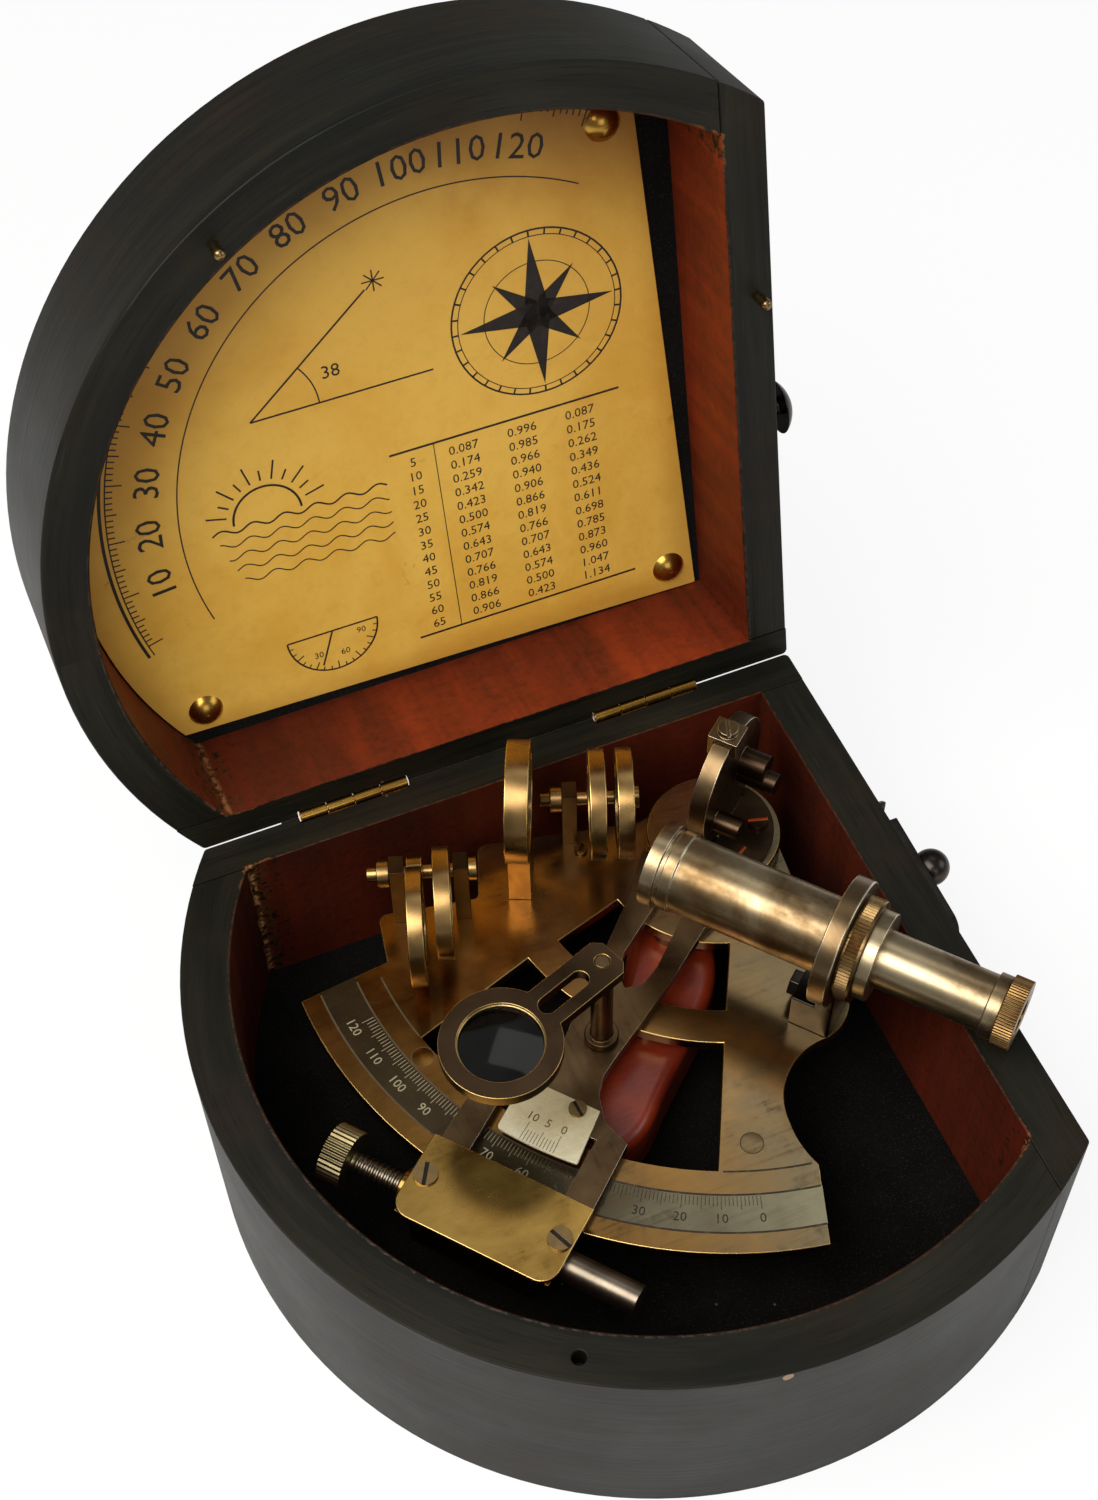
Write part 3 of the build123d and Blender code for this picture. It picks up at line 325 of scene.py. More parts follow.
def brass(name, light, middle, dark, rough, tarnish, brushed=0.0, seed=0.0, stretch=EVEN, right=None,
          metallic=1.0, turn=0.0):
    """Metal with darker tarnish in clouds and spots and faint brush lines; right is its tint at +X."""
    paint = Paint(name, Metallic=metallic, Roughness=rough)
    shifted = paint.node(
        "ShaderNodeMapping", {},
        {"Vector": paint.place, "Location": (seed, seed * 0.7, 0.0), "Rotation": (0.0, 0.0, turn)},
    )
    cloud = paint.noise(shifted, 45.0, 5.0, 0.58, 0.5)
    spot = paint.noise(shifted, 320.0, 4.0, 0.65)
    brush = paint.noise(paint.stretched(shifted, *stretch), 1.0, 3.0, 0.6)
    colour = paint.blend(cloud.between(0.32, 0.66), light, middle)
    if right:
        x, y, z = paint.split(paint.place)
        away = paint.distance(paint.join(x, y, 0.0), (arm_pivot.x, arm_pivot.y, 0.0))
        limb = (away + (cloud - 0.5) * 0.03).between(0.052, 0.082)
        colour = paint.blend(limb * 0.55, colour, dark)
        colour = paint.blend((x + (cloud - 0.5) * 0.06).between(-0.045, 0.045) * 0.85, colour, right)
    stain = (cloud * 0.5 + spot * 0.3 + brush * 0.2).between(0.60 - 0.14 * tarnish, 0.74)
    colour = paint.blend(stain * min(1.0, 0.25 + tarnish), colour, dark)
    colour = paint.blend(brush.between(0.5, 0.8) * 0.3 * (0.3 + brushed), colour, dark)
    paint.feed("Base Color", colour)
    paint.feed("Roughness", rough + (spot - 0.5) * 0.12 + stain * 0.12 + (brush - 0.5) * 0.1)
    paint.feed("Normal", paint.bumps(cloud * 1.5 + spot * 0.12, 0.00003, 0.2))
    return paint.material


gold = brass(
    "bright_brass", tint(206, 162, 78), tint(168, 124, 52), tint(92, 64, 28),
    0.27, 0.35,
)
plate_brass = brass(
    "plate_brass", tint(204, 150, 76), tint(150, 104, 46), tint(74, 54, 30),
    0.22, 0.65, brushed=0.3, stretch=BRUSH_X, right=tint(142, 134, 108),
)
clamp_brass = brass(
    "clamp_brass", tint(196, 158, 84), tint(146, 112, 54), tint(74, 54, 26),
    0.25, 0.6, brushed=0.1, seed=0.9, stretch=BRUSH_X,
)
screw_brass = brass(
    "screw_brass", tint(170, 142, 96), tint(118, 94, 60), tint(50, 38, 24),
    0.28, 0.5, seed=2.2,
)
ring_brass = brass(
    "ring_brass", tint(176, 142, 90), tint(130, 100, 60), tint(62, 44, 26),
    0.29, 0.5, brushed=0.2, seed=0.3,
)
arm_brass = brass(
    "arm_brass", tint(126, 104, 74), tint(92, 72, 50), tint(46, 34, 22),
    0.32, 0.55, brushed=0.3, seed=0.7, stretch=BRUSH_Y,
)
tube_brass = brass(
    "tube_brass", tint(188, 170, 136), tint(130, 104, 68), tint(62, 38, 18),
    0.32, 1.15, brushed=1.0, seed=1.3, stretch=BRUSH_SCOPE, turn=SCOPE_TURN,
)
knob_brass = brass(
    "knob_brass", tint(150, 138, 104), tint(110, 98, 68), tint(52, 44, 28),
    0.34, 0.5, seed=2.6,
)
dark_brass = brass(
    "dark_brass", tint(84, 66, 48), tint(60, 46, 33), tint(32, 23, 16),
    0.34, 0.5, brushed=0.2, seed=1.9,
)
silver = brass(
    "silvered", tint(236, 228, 196), tint(206, 190, 146), tint(156, 136, 92),
    0.28, 0.25, brushed=0.1, seed=2.1, stretch=BRUSH_X, metallic=0.25,
)
scale_metal = brass(
    "scale_metal", tint(104, 88, 60), tint(78, 66, 44), tint(56, 46, 32),
    0.26, 0.5, brushed=0.4, seed=2.9, stretch=BRUSH_X, right=tint(186, 180, 148), metallic=0.8,
)
# bright copper, used only as the painted highlight in the foot screws' slots
slot_highlight_copper = brass(
    "slot_highlight_copper", tint(232, 146, 86), tint(196, 110, 60), tint(110, 56, 30),
    0.3, 0.3, brushed=0.2, seed=3.1,
)
steel = brass(
    "dark_steel", tint(140, 128, 110), tint(96, 86, 74), tint(42, 36, 30),
    0.32, 0.5, brushed=0.2, seed=3.3,
)
# dark metal of the latch and the bracket's nut; the same finish is also the painted shadow on the telescope
# bracket's foot and the painted shade in the arm screws' slots
gunmetal_and_painted_shade = brass(
    "gunmetal_and_painted_shade", tint(76, 70, 66), tint(50, 46, 43), tint(22, 19, 18),
    0.3, 0.6, seed=4.1,
)
worn_brass = brass(
    "worn_brass", tint(228, 194, 126), tint(200, 164, 98), tint(130, 98, 54),
    0.28, 0.25, seed=5.3,
)
worn_silver = brass(
    "worn_silver", tint(220, 208, 180), tint(184, 170, 140), tint(110, 96, 72),
    0.28, 0.25, seed=6.1,
)


# ------------------------------------------------------------------ cloth, card, glass, paint
def velvet():
    """Worn black cloth, with lighter pile ends and a little lint."""
    paint = Paint("black_velvet", Roughness=0.95, Sheen_Weight=0.12, Sheen_Roughness=0.4, Specular_IOR_Level=0.1)
    pile = paint.noise(paint.place, 2600.0, 3.0, 0.7)
    patch = paint.noise(paint.place, 70.0, 4.0, 0.6)
    colour = paint.blend(patch.between(0.35, 0.7), tint(7, 6, 5), tint(15, 13, 11))
    colour = paint.blend(pile.between(0.54, 0.74) * 0.8, colour, tint(54, 47, 38))
    lint = paint.specks(paint.place, 120.0)
    colour = paint.blend((lint < 0.03) * (patch > 0.5), colour, tint(92, 82, 68))
    paint.feed("Base Color", colour)
    paint.feed("Normal", paint.bumps(pile + patch * 2.0, 0.0003, 0.7))
    return paint.material


# the card's back, right and curved edges, in from the case's outside
CARD_EDGES = (0.0085, 0.012, 0.0099)


def parchment():
    """Golden paper, browner towards its edges and the lid's top."""
    paint = Paint("parchment", Roughness=0.5, Specular_IOR_Level=0.3)
    x, y, z = paint.split(case_place(paint, True))
    radius = paint.length(x, y)
    fibre = paint.noise(paint.place, 900.0, 4.0, 0.6)
    cloud = paint.noise(paint.place, 26.0, 5.0, 0.6, 0.5)
    stain = paint.noise(paint.place, 90.0, 4.0, 0.6)
    colour = paint.blend(cloud.between(0.35, 0.7), tint(252, 202, 90), tint(236, 178, 66))
    colour = paint.blend(fibre.between(0.6, 0.8) * 0.25, colour, tint(240, 204, 130))
    back, right, curved = CARD_EDGES
    rim = ((CASE_RADIUS - curved) - radius).least((corner_y - back) - y).least((corner_x - right) - x)
    shade = 1.0 - (rim + (stain - 0.5) * 0.005).between(0.0, 0.008)
    colour = paint.blend(shade * 0.4, colour, tint(176, 116, 40))
    far = 1.0 - (y + (cloud - 0.5) * 0.04).between(-0.07, 0.035)
    outer = (radius + (cloud - 0.5) * 0.02).between(0.05, 0.088)
    colour = paint.blend(far * 0.35, colour, tint(178, 122, 44))
    colour = paint.blend(far * outer * 0.85, colour, tint(126, 72, 18))
    colour = paint.blend(stain.between(0.68, 0.8) * 0.5, colour, tint(140, 88, 34))
    grit = paint.noise(paint.place, 300.0, 5.0, 0.7)
    colour = paint.blend(grit.between(0.45, 0.75) * 0.2, colour, tint(196, 144, 56))
    blot = paint.noise(paint.place, 44.0, 6.0, 0.75, 1.2)
    colour = paint.blend((blot.between(0.66, 0.7) * grit.between(0.4, 0.6)) * 0.5, colour, tint(150, 102, 30))
    paint.feed("Base Color", colour)
    paint.feed("Normal", paint.bumps(fibre + cloud * 5.0, 0.00012, 0.5))
    return paint.material


def red_paint():
    paint = Paint("red_handle", Roughness=0.34, Coat_Weight=0.3, Coat_Roughness=0.2)
    cloud = paint.noise(paint.place, 60.0, 4.0, 0.6)
    grain = paint.noise(paint.stretched(paint.place, 200.0, 900.0, 900.0), 1.0, 4.0, 0.6)
    colour = paint.blend(cloud.between(0.3, 0.75), tint(142, 48, 18), tint(104, 28, 10))
    colour = paint.blend(grain.between(0.58, 0.8) * 0.6, colour, tint(66, 17, 8))
    paint.feed("Base Color", colour)
    paint.feed("Normal", paint.bumps(grain, 0.00015, 0.5))
    return paint.material


def glass(name, colour, rough, through=1.0, metallic=0.0, shine=0.5):
    paint = Paint(
        name, Roughness=rough, Transmission_Weight=through, IOR=1.45, Metallic=metallic, Specular_IOR_Level=shine
    )
    smear = paint.noise(paint.place, 240.0, 3.0, 0.6)
    paint.feed("Base Color", paint.blend(smear.between(0.3, 0.8) * 0.2, colour, tint(120, 122, 116)))
    paint.feed("Roughness", rough + smear * 0.05)
    return paint.material


def engraved(name, left, right):
    """Lines whose colour changes across the scale: light on its dark left, a painted highlight of cuts that
    catch the light, and dark on its bright right.
    """
    paint = Paint(name, Roughness=0.5, Metallic=0.3)
    x, y, z = paint.split(paint.place)
    wear = paint.noise(paint.place, 500.0, 3.0, 0.6)
    colour = paint.blend((x + (wear - 0.5) * 0.01).between(-0.05, -0.034), left, right)
    paint.feed("Base Color", paint.blend(wear.between(0.45, 0.75) * 0.4, colour, tint(110, 98, 72)))
    return paint.material


def ink(name, colour, rough=0.6):
    paint = Paint(name, Roughness=rough)
    wash = paint.noise(paint.place, 700.0, 3.0, 0.6)
    paint.feed("Base Color", paint.blend(wash.between(0.4, 0.8) * 0.35, colour, tint(70, 50, 30)))
    return paint.material


black_velvet = velvet()
card_paper = parchment()
red_wood = red_paint()
clear_glass = glass("clear_glass", tint(150, 152, 146), 0.02)
lens_glass = glass("lens_glass", tint(96, 100, 88), 0.04, shine=0.12)
green_glass = glass("green_glass", tint(48, 62, 50), 0.03)
smoked_glass = glass("smoked_glass", tint(44, 46, 42), 0.03)
mirror_glass = glass("mirror_glass", tint(150, 152, 148), 0.03, through=0.0, metallic=1.0)
black_ink = ink("black_ink", tint(26, 18, 10))
# limb lines: the light ones on the dark left of the scale are a painted highlight
engraving_with_highlight = engraved("engraving_with_highlight", tint(172, 160, 128), tint(30, 24, 14))
groove_dark = engraved("groove_dark", tint(84, 70, 46), tint(46, 34, 20))
vernier_ink = ink("vernier_ink", tint(84, 66, 36), 0.5)

finish_of = {
    "base_back_wall": woods["base_back"], "base_right_wall": woods["base_right"],
    "base_curved_wall": woods["base_curved"], "base_bottom_panel": woods["base_panel"],
    "lid_back_wall": woods["lid_back"], "lid_right_wall": woods["lid_right"],
    "lid_curved_wall": woods["lid_curved"], "lid_top_panel": woods["lid_panel"],
    "base_velvet_floor": black_velvet, "lid_velvet_lining": black_velvet, "label_card": card_paper,
    "handle_grip": red_wood, "limb_scale": scale_metal, "vernier_plate": silver,
    "horizon_mirror_glass": mirror_glass, "index_mirror_glass": mirror_glass,
    "objective_lens": clear_glass, "eyepiece_lens": clear_glass, "magnifier_lens": lens_glass,
    "index_shade_1_glass": green_glass, "index_shade_2_glass": green_glass,
    "horizon_shade_1_glass": smoked_glass, "horizon_shade_2_glass": smoked_glass,
    "sextant_frame": plate_brass, "clamp_plate": clamp_brass, "clamp_block": plate_brass,
    "index_arm": arm_brass, "magnifier_arm": dark_brass, "magnifier_post": arm_brass,
    "telescope_tube": tube_brass, "draw_tube": tube_brass, "eyepiece_cap": ring_brass,
    "telescope_collar": screw_brass, "telescope_bracket": arm_brass, "index_mirror_frame": arm_brass,
    "index_mirror_clip": arm_brass, "pivot_disc": plate_brass,
    "index_shade_bracket": dark_brass, "horizon_shade_brackets": dark_brass, "shade_bolts": ring_brass,
    "tangent_screw": steel, "bracket_nut": gunmetal_and_painted_shade, "arm_screws": screw_brass, "frame_legs": dark_brass,
    "latch_hook": gunmetal_and_painted_shade, "latch_pivot": gunmetal_and_painted_shade, "latch_stud": gunmetal_and_painted_shade,
    "hinge_base_leaves": gold, "hinge_lid_leaves": gold, "hinge_pins": gold, "label_nails": gold,
    "rim_pins": screw_brass, "base_hinge_screws": gold, "lid_hinge_screws": gold,
}


# ------------------------------------------------------------------ pieces
def add_piece(name, shape, body, materials, smooth_angle=32.0):
    """Makes an object of a bmesh, in place, and gives it to a body."""
    mesh = bpy.data.meshes.new(name)
    for face in shape.faces:
        face.smooth = True
    shape.to_mesh(mesh)
    shape.free()
    mesh.set_sharp_from_angle(angle=radians(smooth_angle))
    for material in materials:
        mesh.materials.append(material)
    piece = bpy.data.objects.new(name, mesh)
    bpy.context.scene.collection.objects.link(piece)
    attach(piece, body)
    return piece


def by_hinge(edge):
    """True for the two edges that meet at the hinge line, which stay sharp."""
    spots = [opened.inverted() @ vert.co for vert in edge.verts]
    near = 0
    for spot in spots + [vert.co for vert in edge.verts]:
        if abs(spot.y - corner_y) < 0.0003 and abs(spot.z - base_height) < 0.0005:
            near += 1
    return near == 2


# from the arm's pivot: the legs' ends, flush with the frame's top, and the two edges beside the scale
LEG_ENDS = ((-0.0793, -0.0254), (-0.0239, -0.0706))
LEG_END_RADIUS = 0.0024
SCALE_INNER, SCALE_OUTER = 0.0860, 0.0943


def let_in(edge):
    """True for the frame's edges beside the scale and round the legs' flush ends."""
    hits = 0
    for vert in edge.verts:
        spot = vert.co.xy - arm_pivot.xy
        beside = min(abs(spot.length - SCALE_INNER), abs(spot.length - SCALE_OUTER)) < 0.0002
        for end in LEG_ENDS:
            beside = beside or abs((spot - Vector(end)).length - LEG_END_RADIUS) < 0.0002
        hits += beside
    return hits == 2


def rounded(node, width, worn, sharp=35.0, segments=2):
    """A CAD piece with its hard edges eased; it takes that piece's place."""
    shape = bmesh.new()
    shape.from_mesh(frame["nodes"][node].data)
    bmesh.ops.remove_doubles(shape, verts=shape.verts, dist=1e-6)
    bmesh.ops.dissolve_limit(shape, angle_limit=radians(0.6), verts=shape.verts, edges=shape.edges)
    hard = []
    for edge in shape.edges:
        if len(edge.link_faces) != 2 or edge.calc_face_angle() <= radians(sharp) or by_hinge(edge):
            continue
        if not (node in ("sextant_frame", "frame_legs") and let_in(edge)):
            hard.append(edge)
    bmesh.ops.bevel(
        shape, geom=hard, offset=width, offset_type="OFFSET", segments=segments, profile=0.5,
        affect="EDGES", clamp_overlap=True, material=1 if worn else -1,
    )
    materials = [finish_of.get(node, ring_brass)]
    if worn:
        materials.append(worn)
    piece = add_piece(node + "_eased", shape, body_of[node], materials, 50.0)
    even = piece.modifiers.new("even_normals", "WEIGHTED_NORMAL")
    even.mode, even.weight, even.keep_sharp = "FACE_AREA", 90, True
    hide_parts(node)
    return piece


for node, thing in frame["nodes"].items():
    thing.data.materials.clear()
    thing.data.materials.append(finish_of.get(node, ring_brass))

# width of the eased edges in millimetres, and the finish that shows where they are worn
EASED = {
    "base_back_wall": (0.25, None), "base_right_wall": (0.45, None), "base_curved_wall": (0.45, None),
    "base_bottom_panel": (0.3, None), "lid_back_wall": (0.25, None), "lid_right_wall": (0.45, None),
    "lid_curved_wall": (0.45, None), "lid_top_panel": (0.3, None), "hinge_base_leaves": (0.24, None),
    "hinge_lid_leaves": (0.24, None), "latch_hook": (0.4, None), "latch_stud": (0.3, None),
    "sextant_frame": (0.22, worn_brass), "index_arm": (0.25, worn_silver), "pivot_disc": (0.3, worn_brass),
    "clamp_plate": (0.25, worn_brass), "clamp_block": (0.3, None), "magnifier_arm": (0.2, worn_brass),
    "vernier_plate": (0.12, worn_silver), "telescope_bracket": (0.35, worn_silver),
    "telescope_tube": (0.25, worn_silver), "telescope_collar": (0.15, None), "eyepiece_cap": (0.12, None),
    "horizon_mirror_frame": (0.3, worn_brass), "index_mirror_frame": (0.3, worn_silver),
    "index_mirror_clip": (0.25, worn_silver), "index_shade_bracket": (0.3, None),
    "horizon_shade_brackets": (0.3, None), "shade_bolts": (0.25, None), "bracket_nut": (0.25, None),
    "index_shade_1_ring": (0.35, worn_brass), "index_shade_2_ring": (0.35, worn_brass),
    "horizon_shade_1_ring": (0.35, worn_brass), "horizon_shade_2_ring": (0.35, worn_brass),
    "magnifier_post": (0.3, None), "frame_legs": (0.25, None), "draw_tube": (0.2, None),
    "tangent_screw": (0.15, None), "arm_screws": (0.08, None), "label_card": (0.12, None),
    "rim_pins": (0.8, None),
}
KNOB_FACE = -0.0309             # inner face of the tangent screw's knob, across the arm
MIRROR_BACK = 0.0021            # back of the index mirror's frame, across the arm
BRACKET_FOOT_TOP = 0.0565       # height of the telescope bracket's foot
DISC_REACH = 0.02               # holds the pivot disc and its screws
FLUSH = 0.0005
# floor of a slot and just under the head's top, for the vernier's, the clamp's and the foot's screws
SLOT_HEIGHTS = ((0.04614, 0.04645), (0.048385, 0.04866), (0.05005, 0.0503))
SLOT_SPARE = 0.00001


def across_arm(place):
    return (arm_place.inverted() @ place).y


def knob_end(place):
    return across_arm(place) < KNOB_FACE


def near_pivot(place):
    return (place.xy - arm_pivot.xy).length < DISC_REACH


def in_slot(place):
    """True for the floors and sides of the arm screws' slots."""
    return any(floor - SLOT_SPARE < place.z < top for floor, top in SLOT_HEIGHTS)


# other finishes of a piece, some of them painted shade or painted highlight, and where on the piece each goes
OTHERS = {
    # arm screws: slot floors and sides in dark metal as painted shade; by the pivot, dark brass heads with
    # bright copper slot floors as a painted highlight
    "arm_screws": (
        (dark_brass, near_pivot), (gunmetal_and_painted_shade, in_slot),
        (slot_highlight_copper, lambda place: near_pivot(place) and in_slot(place)),
    ),
    # the telescope bracket's foot is painted dark: the painted shadow of the telescope tube
    "telescope_bracket": ((gunmetal_and_painted_shade, lambda place: place.z < BRACKET_FOOT_TOP),),
    "tangent_screw": ((knob_brass, knob_end),),
    "frame_legs": ((plate_brass, lambda place: place.z > plate_top - FLUSH),),
    "index_mirror_frame": ((dark_brass, lambda place: across_arm(place) > MIRROR_BACK),),
}
for node, (width, worn) in EASED.items():
    piece = rounded(node, width * MM, worn)
    for finish, here in OTHERS.get(node, ()):
        piece.data.materials.append(finish)
        for face in piece.data.polygons:
            if here(face.center):
                face.material_index = len(piece.data.materials) - 1


# section of the strip that fills the hinge line, millimetres back and up from the base's back top edge
SEAM_PROFILE = (
    (-0.25, -0.08), (0.02, -0.08), (0.17, 0.10), (0.17, 0.20),
    (0.13, 0.245), (0.05, 0.22), (0.0, 0.14), (-0.25, 0.14),
)


def seam_strip(name, start, end):
    """Dark wood along the hinge line, inside the narrow gap that the lid turns about."""
    shape = bmesh.new()
    ends = []
    for x in (start, end):
        ends.append([shape.verts.new((x, corner_y + y * MM, base_height + z * MM)) for y, z in SEAM_PROFILE])
    shape.faces.new(ends[0])
    shape.faces.new(reversed(ends[1]))
    for k, vert in enumerate(ends[0]):
        after = (k + 1) % len(SEAM_PROFILE)
        shape.faces.new((vert, ends[1][k], ends[1][after], ends[0][after]))
    bmesh.ops.recalc_face_normals(shape, faces=shape.faces)
    add_piece(name, shape, "case", [woods["base_back"]])


# from near the left end to the left hinge, and between the hinges
for name, start, end in (("hinge_seam_left", -0.0620, -0.0580), ("hinge_seam_middle", -0.0324, 0.0120)):
    seam_strip(name, start, end)


# ------------------------------------------------------------------ marks, digits and the card's print
def stroke(shape, start, end, width, z, thick, place):
    """Thin straight bar between two flat points."""
    (x0, y0), (x1, y1) = start, end
    turn = Matrix.Rotation(atan2(y1 - y0, x1 - x0), 4, "Z")
    scale = Matrix.Diagonal((hypot(x1 - x0, y1 - y0), width, thick, 1.0))
    middle = Matrix.Translation(((x0 + x1) / 2, (y0 + y1) / 2, z))
    bmesh.ops.create_cube(shape, size=1.0, matrix=place @ middle @ turn @ scale)


def chain(shape, points, width, z, thick, place):
    for first, second in zip(points, points[1:]):
        stroke(shape, first, second, width, z, thick, place)


def at(radius, angle, centre=(0.0, 0.0)):
    return (centre[0] + radius * cos(radians(angle)), centre[1] + radius * sin(radians(angle)))


def arc(radius, start, end, steps, centre=(0.0, 0.0)):
    return [at(radius, start + (end - start) * k / steps, centre) for k in range(steps + 1)]


def lettering(shape, text, height, thick, place, centred=True):
    """Digits of the built-in face, as solid shapes."""
    curve = bpy.data.curves.new("digits", "FONT")
    curve.body = text
    curve.size = height
    curve.extrude = thick / 2
    curve.resolution_u = 2
    curve.align_x = "CENTER" if centred else "LEFT"
    curve.align_y = "CENTER"
    holder = bpy.data.objects.new("digits", curve)
    flat = holder.to_mesh()
    flat.transform(place)
    shape.from_mesh(flat)
    holder.to_mesh_clear()
    bpy.data.objects.remove(holder)
    bpy.data.curves.remove(curve)


def finish_marks(name, shape, body, material):
    bmesh.ops.remove_doubles(shape, verts=shape.verts, dist=1e-8)
    bmesh.ops.recalc_face_normals(shape, faces=shape.faces)
    add_piece(name, shape, body, [material])


frame_place = Matrix.Translation((arm_pivot.x, arm_pivot.y, 0.0))
MARK = 0.00003                  # thickness of a mark, sunk by a quarter
MARK_WIDTH = 0.00013
LIMB_ZERO, LIMB_STEP = 251.5, 0.5285
LIMB_FOOT, LIMB_SHORT, LIMB_LONG, LIMB_DIGITS = 0.0864, 0.0885, 0.0893, 0.0913
marks = bmesh.new()
digits_top = plate_top + MARK / 4
for value in range(0, 121):
    angle = LIMB_ZERO - LIMB_STEP * value
    reach = LIMB_LONG if value % 5 == 0 else LIMB_SHORT
    stroke(marks, at(LIMB_FOOT, angle), at(reach, angle), MARK_WIDTH, digits_top, MARK, frame_place)
    if value % 10 == 0:
        turn = Matrix.Rotation(radians(angle + 90.0), 4, "Z")
        spot = Matrix.Translation((*at(LIMB_DIGITS, angle), digits_top))
        lettering(marks, str(value), 0.0029, MARK, frame_place @ spot @ turn)
finish_marks("limb_marks", marks, "sextant", engraving_with_highlight)
grooves = bmesh.new()
for radius, start, end in (
    (SCALE_INNER, 181.7, 259.9), (SCALE_OUTER, 181.6, 259.2), (0.0808, 182.4, 194.6), (0.0808, 246.6, 259.6)
):
    chain(grooves, arc(radius, start, end, 90), 0.00042, digits_top, MARK, frame_place)
for end in LEG_ENDS:
    chain(grooves, arc(LEG_END_RADIUS, 0.0, 360.0, 36, end), 0.00018, digits_top, MARK, frame_place)
finish_marks("limb_grooves", grooves, "sextant", groove_dark)

VERNIER_ZERO, VERNIER_STEP = 222.8, 0.51
VERNIER_EDGE, VERNIER_DIGITS = 0.0862, 0.0806
vernier_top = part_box("vernier_plate")[1][2] + MARK / 4
marks = bmesh.new()
for value in range(0, 11):
    angle = VERNIER_ZERO - VERNIER_STEP * value
    inner = 0.0820 if value % 10 == 0 else (0.0828 if value % 5 == 0 else 0.0836)
    stroke(marks, at(inner, angle), at(VERNIER_EDGE, angle), MARK_WIDTH, vernier_top, MARK, frame_place)
    if value % 5 == 0:
        turn = Matrix.Rotation(radians(angle + 90.0), 4, "Z")
        spot = Matrix.Translation((*at(VERNIER_DIGITS, angle), vernier_top))
        lettering(marks, str(value), 0.0027, MARK, frame_place @ spot @ turn)
finish_marks("vernier_marks", marks, "arm", vernier_ink)

# the card's print, drawn flat: x along the hinge edge from the right corner, y away from the hinge;
# its height in the closed case is that of the lid's top, less the panel, the lining and the card
LID_RIM, LID_HEIGHT = 0.06015, 0.0345
LID_PANEL, LINING, CARD = 0.0065, 0.0015, 0.0005
card_face = LID_RIM + LID_HEIGHT - LID_PANEL - LINING - CARD
card_place = opened @ Matrix(
    ((1, 0, 0, corner_x), (0, -1, 0, corner_y), (0, 0, -1, card_face), (0, 0, 0, 1))
)
CARD_CENTRE = (-corner_x, corner_y)
INK = 0.00004


def ruled(shape, points, width):
    chain(shape, points, width, INK / 4, INK, card_place)


def printed(shape, text, x, y, height, turn=0.0, centred=True):
    spot = Matrix.Translation((x, y, INK / 4)) @ Matrix.Rotation(radians(turn), 4, "Z")
    lettering(shape, text, height, INK, card_place @ spot, centred)


page = bmesh.new()
for radius, width in ((0.0812, 0.0007), (0.0800, 0.0003), (0.0650, 0.0003)):
    ruled(page, arc(radius, 62.0, 197.0, 110, CARD_CENTRE), width)
for step in range(0, 131):
    angle = 195.0 - step
    inner = 0.0765 if step % 10 == 0 else (0.0776 if step % 5 == 0 else 0.0784)
    ruled(page, [at(inner, angle, CARD_CENTRE), at(0.0800, angle, CARD_CENTRE)], 0.00032)
    if step % 10 == 0 and 0 < step < 130:
        printed(page, str(step), *at(0.0711, angle, CARD_CENTRE), 0.0078, angle - 90.0)
# compass star
star_centre = (-0.042, 0.089)
for radius, width in ((0.0190, 0.0004), (0.0176, 0.0002), (0.0118, 0.0002)):
    ruled(page, arc(radius, 0.0, 360.0, 60, star_centre), width)
for quarter in range(32):
    angle = quarter * 11.25
    ruled(page, [at(0.0176, angle, star_centre), at(0.0190, angle, star_centre)], 0.0004)
for turn, reach, waist in ((45.0, 0.0128, 0.0030), (0.0, 0.0172, 0.0036)):
    place = card_place @ Matrix.Translation((*star_centre, INK / 4)) @ Matrix.Rotation(radians(turn), 4, "Z")
    made = bmesh.ops.create_cone(
        page, cap_ends=True, segments=8, radius1=reach, radius2=reach, depth=INK, matrix=place
    )
    for vert in made["verts"]:
        flat = place.inverted() @ vert.co
        around = round(degrees(atan2(flat.y, flat.x)) / 45.0)
        if around % 2:
            flat.x *= waist / reach
            flat.y *= waist / reach
            vert.co = place @ flat
# sun over a horizon with waves
sun_centre = (-0.1065, 0.060)
ruled(page, arc(0.0075, 0.0, 180.0, 24, sun_centre), 0.0005)
for ray in range(1, 12):
    reach = 0.0135 if ray % 2 else 0.0115
    ruled(page, [at(0.0090, ray * 15.0, sun_centre), at(reach, ray * 15.0, sun_centre)], 0.0004)
for row in range(5):
    start, end = -0.1190 + 0.0012 * row, -0.0800
    points = []
    for k in range(61):
        x = start + (end - start) * k / 60
        points.append((x, 0.0590 - 0.0033 * row + 0.0007 * sin((x + 0.0011 * row) * 900.0)))
    ruled(page, points, 0.0004 if row == 0 else 0.00028)
# a table of plain figures
for row in range(13):
    degrees_here = 5 + 5 * row
    y = 0.0622 - 0.0036 * row
    printed(page, "%d" % degrees_here, -0.0735, y, 0.0031)
    turned = radians(degrees_here)
    for column, value in enumerate((sin(turned), cos(turned), turned)):
        printed(page, "%.3f" % value, -0.0620 + 0.0135 * column, y, 0.0031)
for y in (0.0655, 0.0165):
    ruled(page, [(-0.0785, y), (-0.0255, y)], 0.0005)
ruled(page, [(-0.0685, 0.0655), (-0.0685, 0.0165)], 0.0002)
# angle between two sight lines
eye = (-0.1060, 0.0830)
for angle, reach in ((0.0, 0.040), (38.0, 0.036)):
    ruled(page, [eye, at(reach, angle, eye)], 0.0004)
ruled(page, arc(0.0150, 0.0, 38.0, 20, eye), 0.0003)
printed(page, "38", *at(0.0195, 19.0, eye), 0.0042)
for ray in range(8):
    tip = at(0.0385, 38.0, eye)
    ruled(page, [tip, at(0.0024, ray * 45.0, tip)], 0.0003)
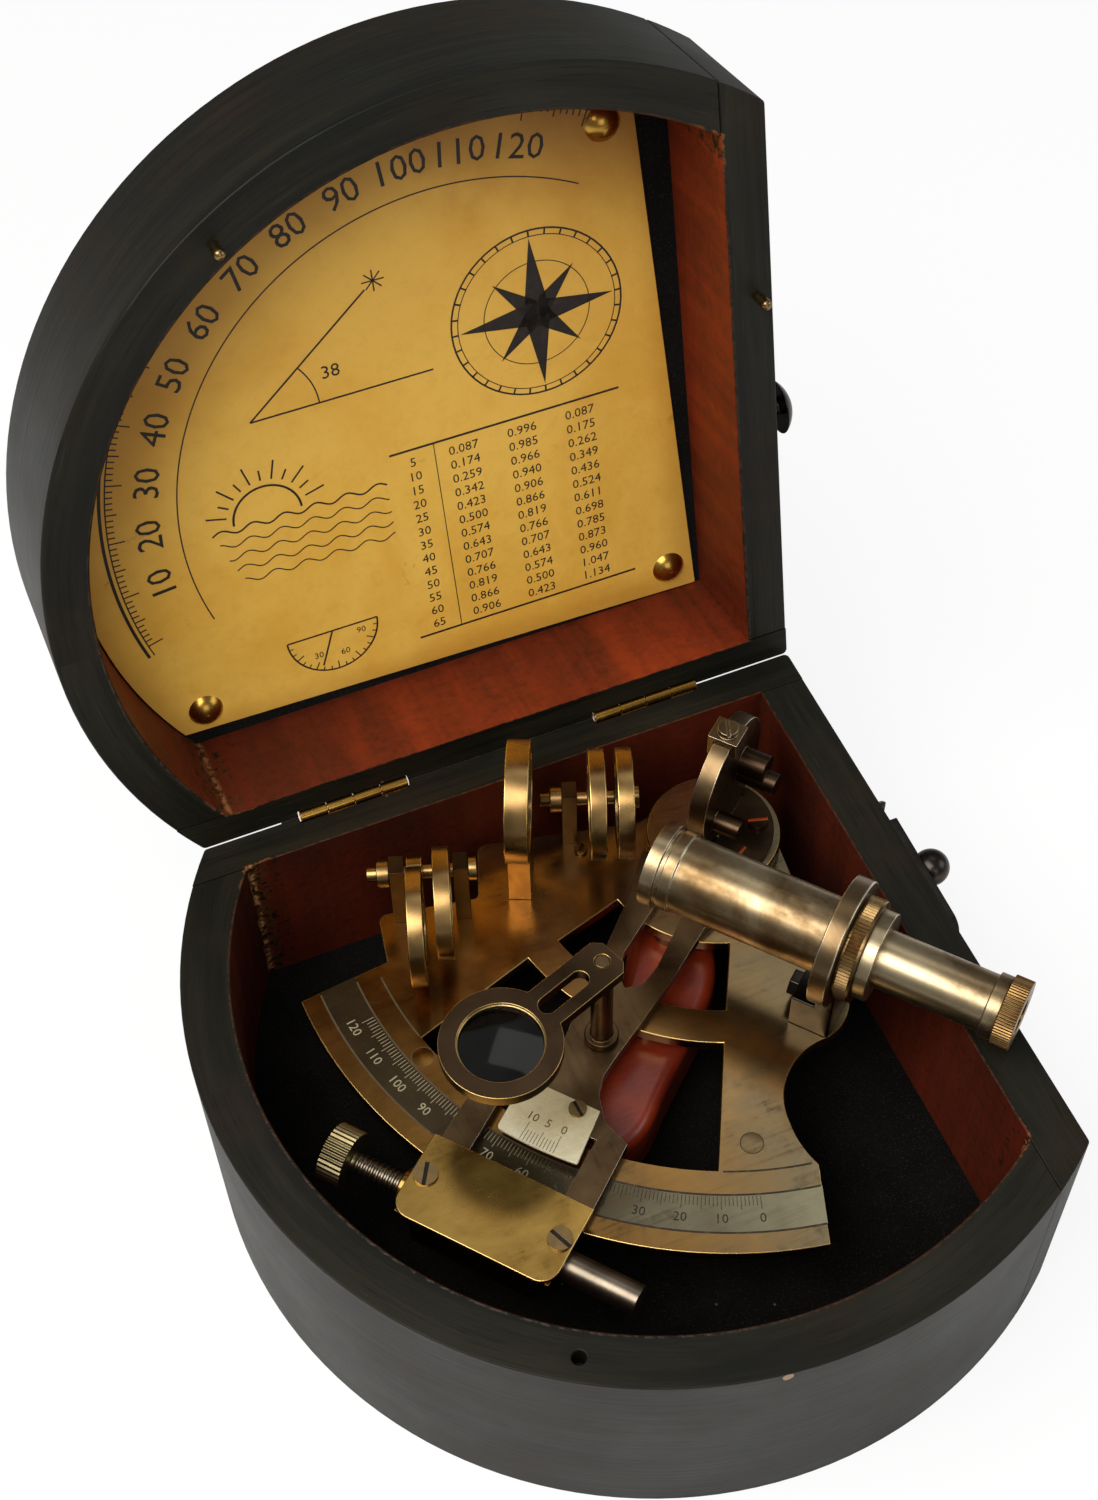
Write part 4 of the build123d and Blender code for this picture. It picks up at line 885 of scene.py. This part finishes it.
# half dial at the lower left
dial_centre = (-0.098, 0.026)
ruled(page, arc(0.0105, 180.0, 360.0, 36, dial_centre), 0.0004)
ruled(page, [at(0.0105, 180.0, dial_centre), at(0.0105, 0.0, dial_centre)], 0.0004)
for step in range(1, 18):
    angle = 180.0 + step * 10.0
    inner = 0.0085 if step % 3 == 0 else 0.0095
    ruled(page, [at(inner, angle, dial_centre), at(0.0105, angle, dial_centre)], 0.00025)
ruled(page, [dial_centre, at(0.0092, 248.0, dial_centre)], 0.0004)
for step in (30, 60, 90):
    printed(page, str(step), *at(0.0068, 180.0 + 2 * step * 0.9, dial_centre), 0.0022)
finish_marks("label_print", page, "lid", black_ink)


# ------------------------------------------------------------------ light and ground
def lamp(name, place, aim, size, watts, colour=(1.0, 1.0, 1.0)):
    data = bpy.data.lights.new(name, "AREA")
    data.shape = "RECTANGLE"
    data.size, data.size_y = size
    data.energy = watts
    data.color = colour
    thing = bpy.data.objects.new(name, data)
    thing.location = place
    thing.rotation_mode = "QUATERNION"
    thing.rotation_quaternion = (Vector(aim) - Vector(place)).to_track_quat("-Z", "Y")
    bpy.context.scene.collection.objects.link(thing)


lamp("soft_key", (-0.45, -0.15, 0.9), (0.0, 0.0, 0.05), (0.9, 0.6), 9.5, (1.0, 0.98, 0.95))
lamp("soft_front", (0.02, -1.0, 0.5), (0.0, 0.0, 0.06), (0.5, 0.5), 1.1, (1.0, 0.98, 0.95))
lamp("soft_top", (0.22, 0.24, 0.8), (0.0, -0.03, 0.04), (0.45, 0.28), 0.3, (1.0, 0.99, 0.94))
lamp("soft_side", (0.8, -0.35, 0.5), (0.0, 0.0, 0.05), (0.5, 0.5), 1.4, (0.95, 0.97, 1.0))

world = bpy.data.worlds.new("studio")
bpy.context.scene.world = world
world.use_nodes = True
sky = Nodes(world.node_tree)
dim = sky.tree.nodes["Background"]
dim.inputs["Color"].default_value = (0.9, 0.92, 0.95, 1.0)
dim.inputs["Strength"].default_value = 0.22
white = sky.node("ShaderNodeBackground", {}, {"Color": (1.0, 1.0, 1.0, 1.0), "Strength": 1.0})
seen = sky.node("ShaderNodeLightPath", {}, {}, "Is Camera Ray")
choose = sky.node("ShaderNodeMixShader", {}, {0: seen, 1: Wire(sky, dim.outputs[0]), 2: white})
sky.tree.links.new(choose.socket, sky.tree.nodes["World Output"].inputs["Surface"])

FLOOR_RADIUS = 6.0
FLOOR_GLOW, GLOW_SHARE = 1.04, 0.82     # the floor shines where the camera sees it, and keeps its shadows
floor_shape = bmesh.new()
bmesh.ops.create_circle(floor_shape, cap_ends=True, segments=64, radius=FLOOR_RADIUS)
floor_mesh = bpy.data.meshes.new("ground")
floor_shape.to_mesh(floor_mesh)
floor_shape.free()
ground = bpy.data.objects.new("ground", floor_mesh)
bpy.context.scene.collection.objects.link(ground)
floor_paint = Paint("ground_white", Roughness=0.9, Base_Color=(0.92, 0.92, 0.92, 1.0))
glow = floor_paint.node("ShaderNodeEmission", {}, {"Strength": FLOOR_GLOW})
floor_seen = floor_paint.node("ShaderNodeLightPath", {}, {}, "Is Camera Ray")
lit = Wire(floor_paint, floor_paint.shader.outputs[0])
floor_mix = floor_paint.node("ShaderNodeMixShader", {}, {0: floor_seen * GLOW_SHARE, 1: lit, 2: glow})
floor_out = floor_paint.tree.nodes["Material Output"]
floor_paint.tree.links.new(floor_mix.socket, floor_out.inputs["Surface"])
floor_mesh.materials.append(floor_paint.material)
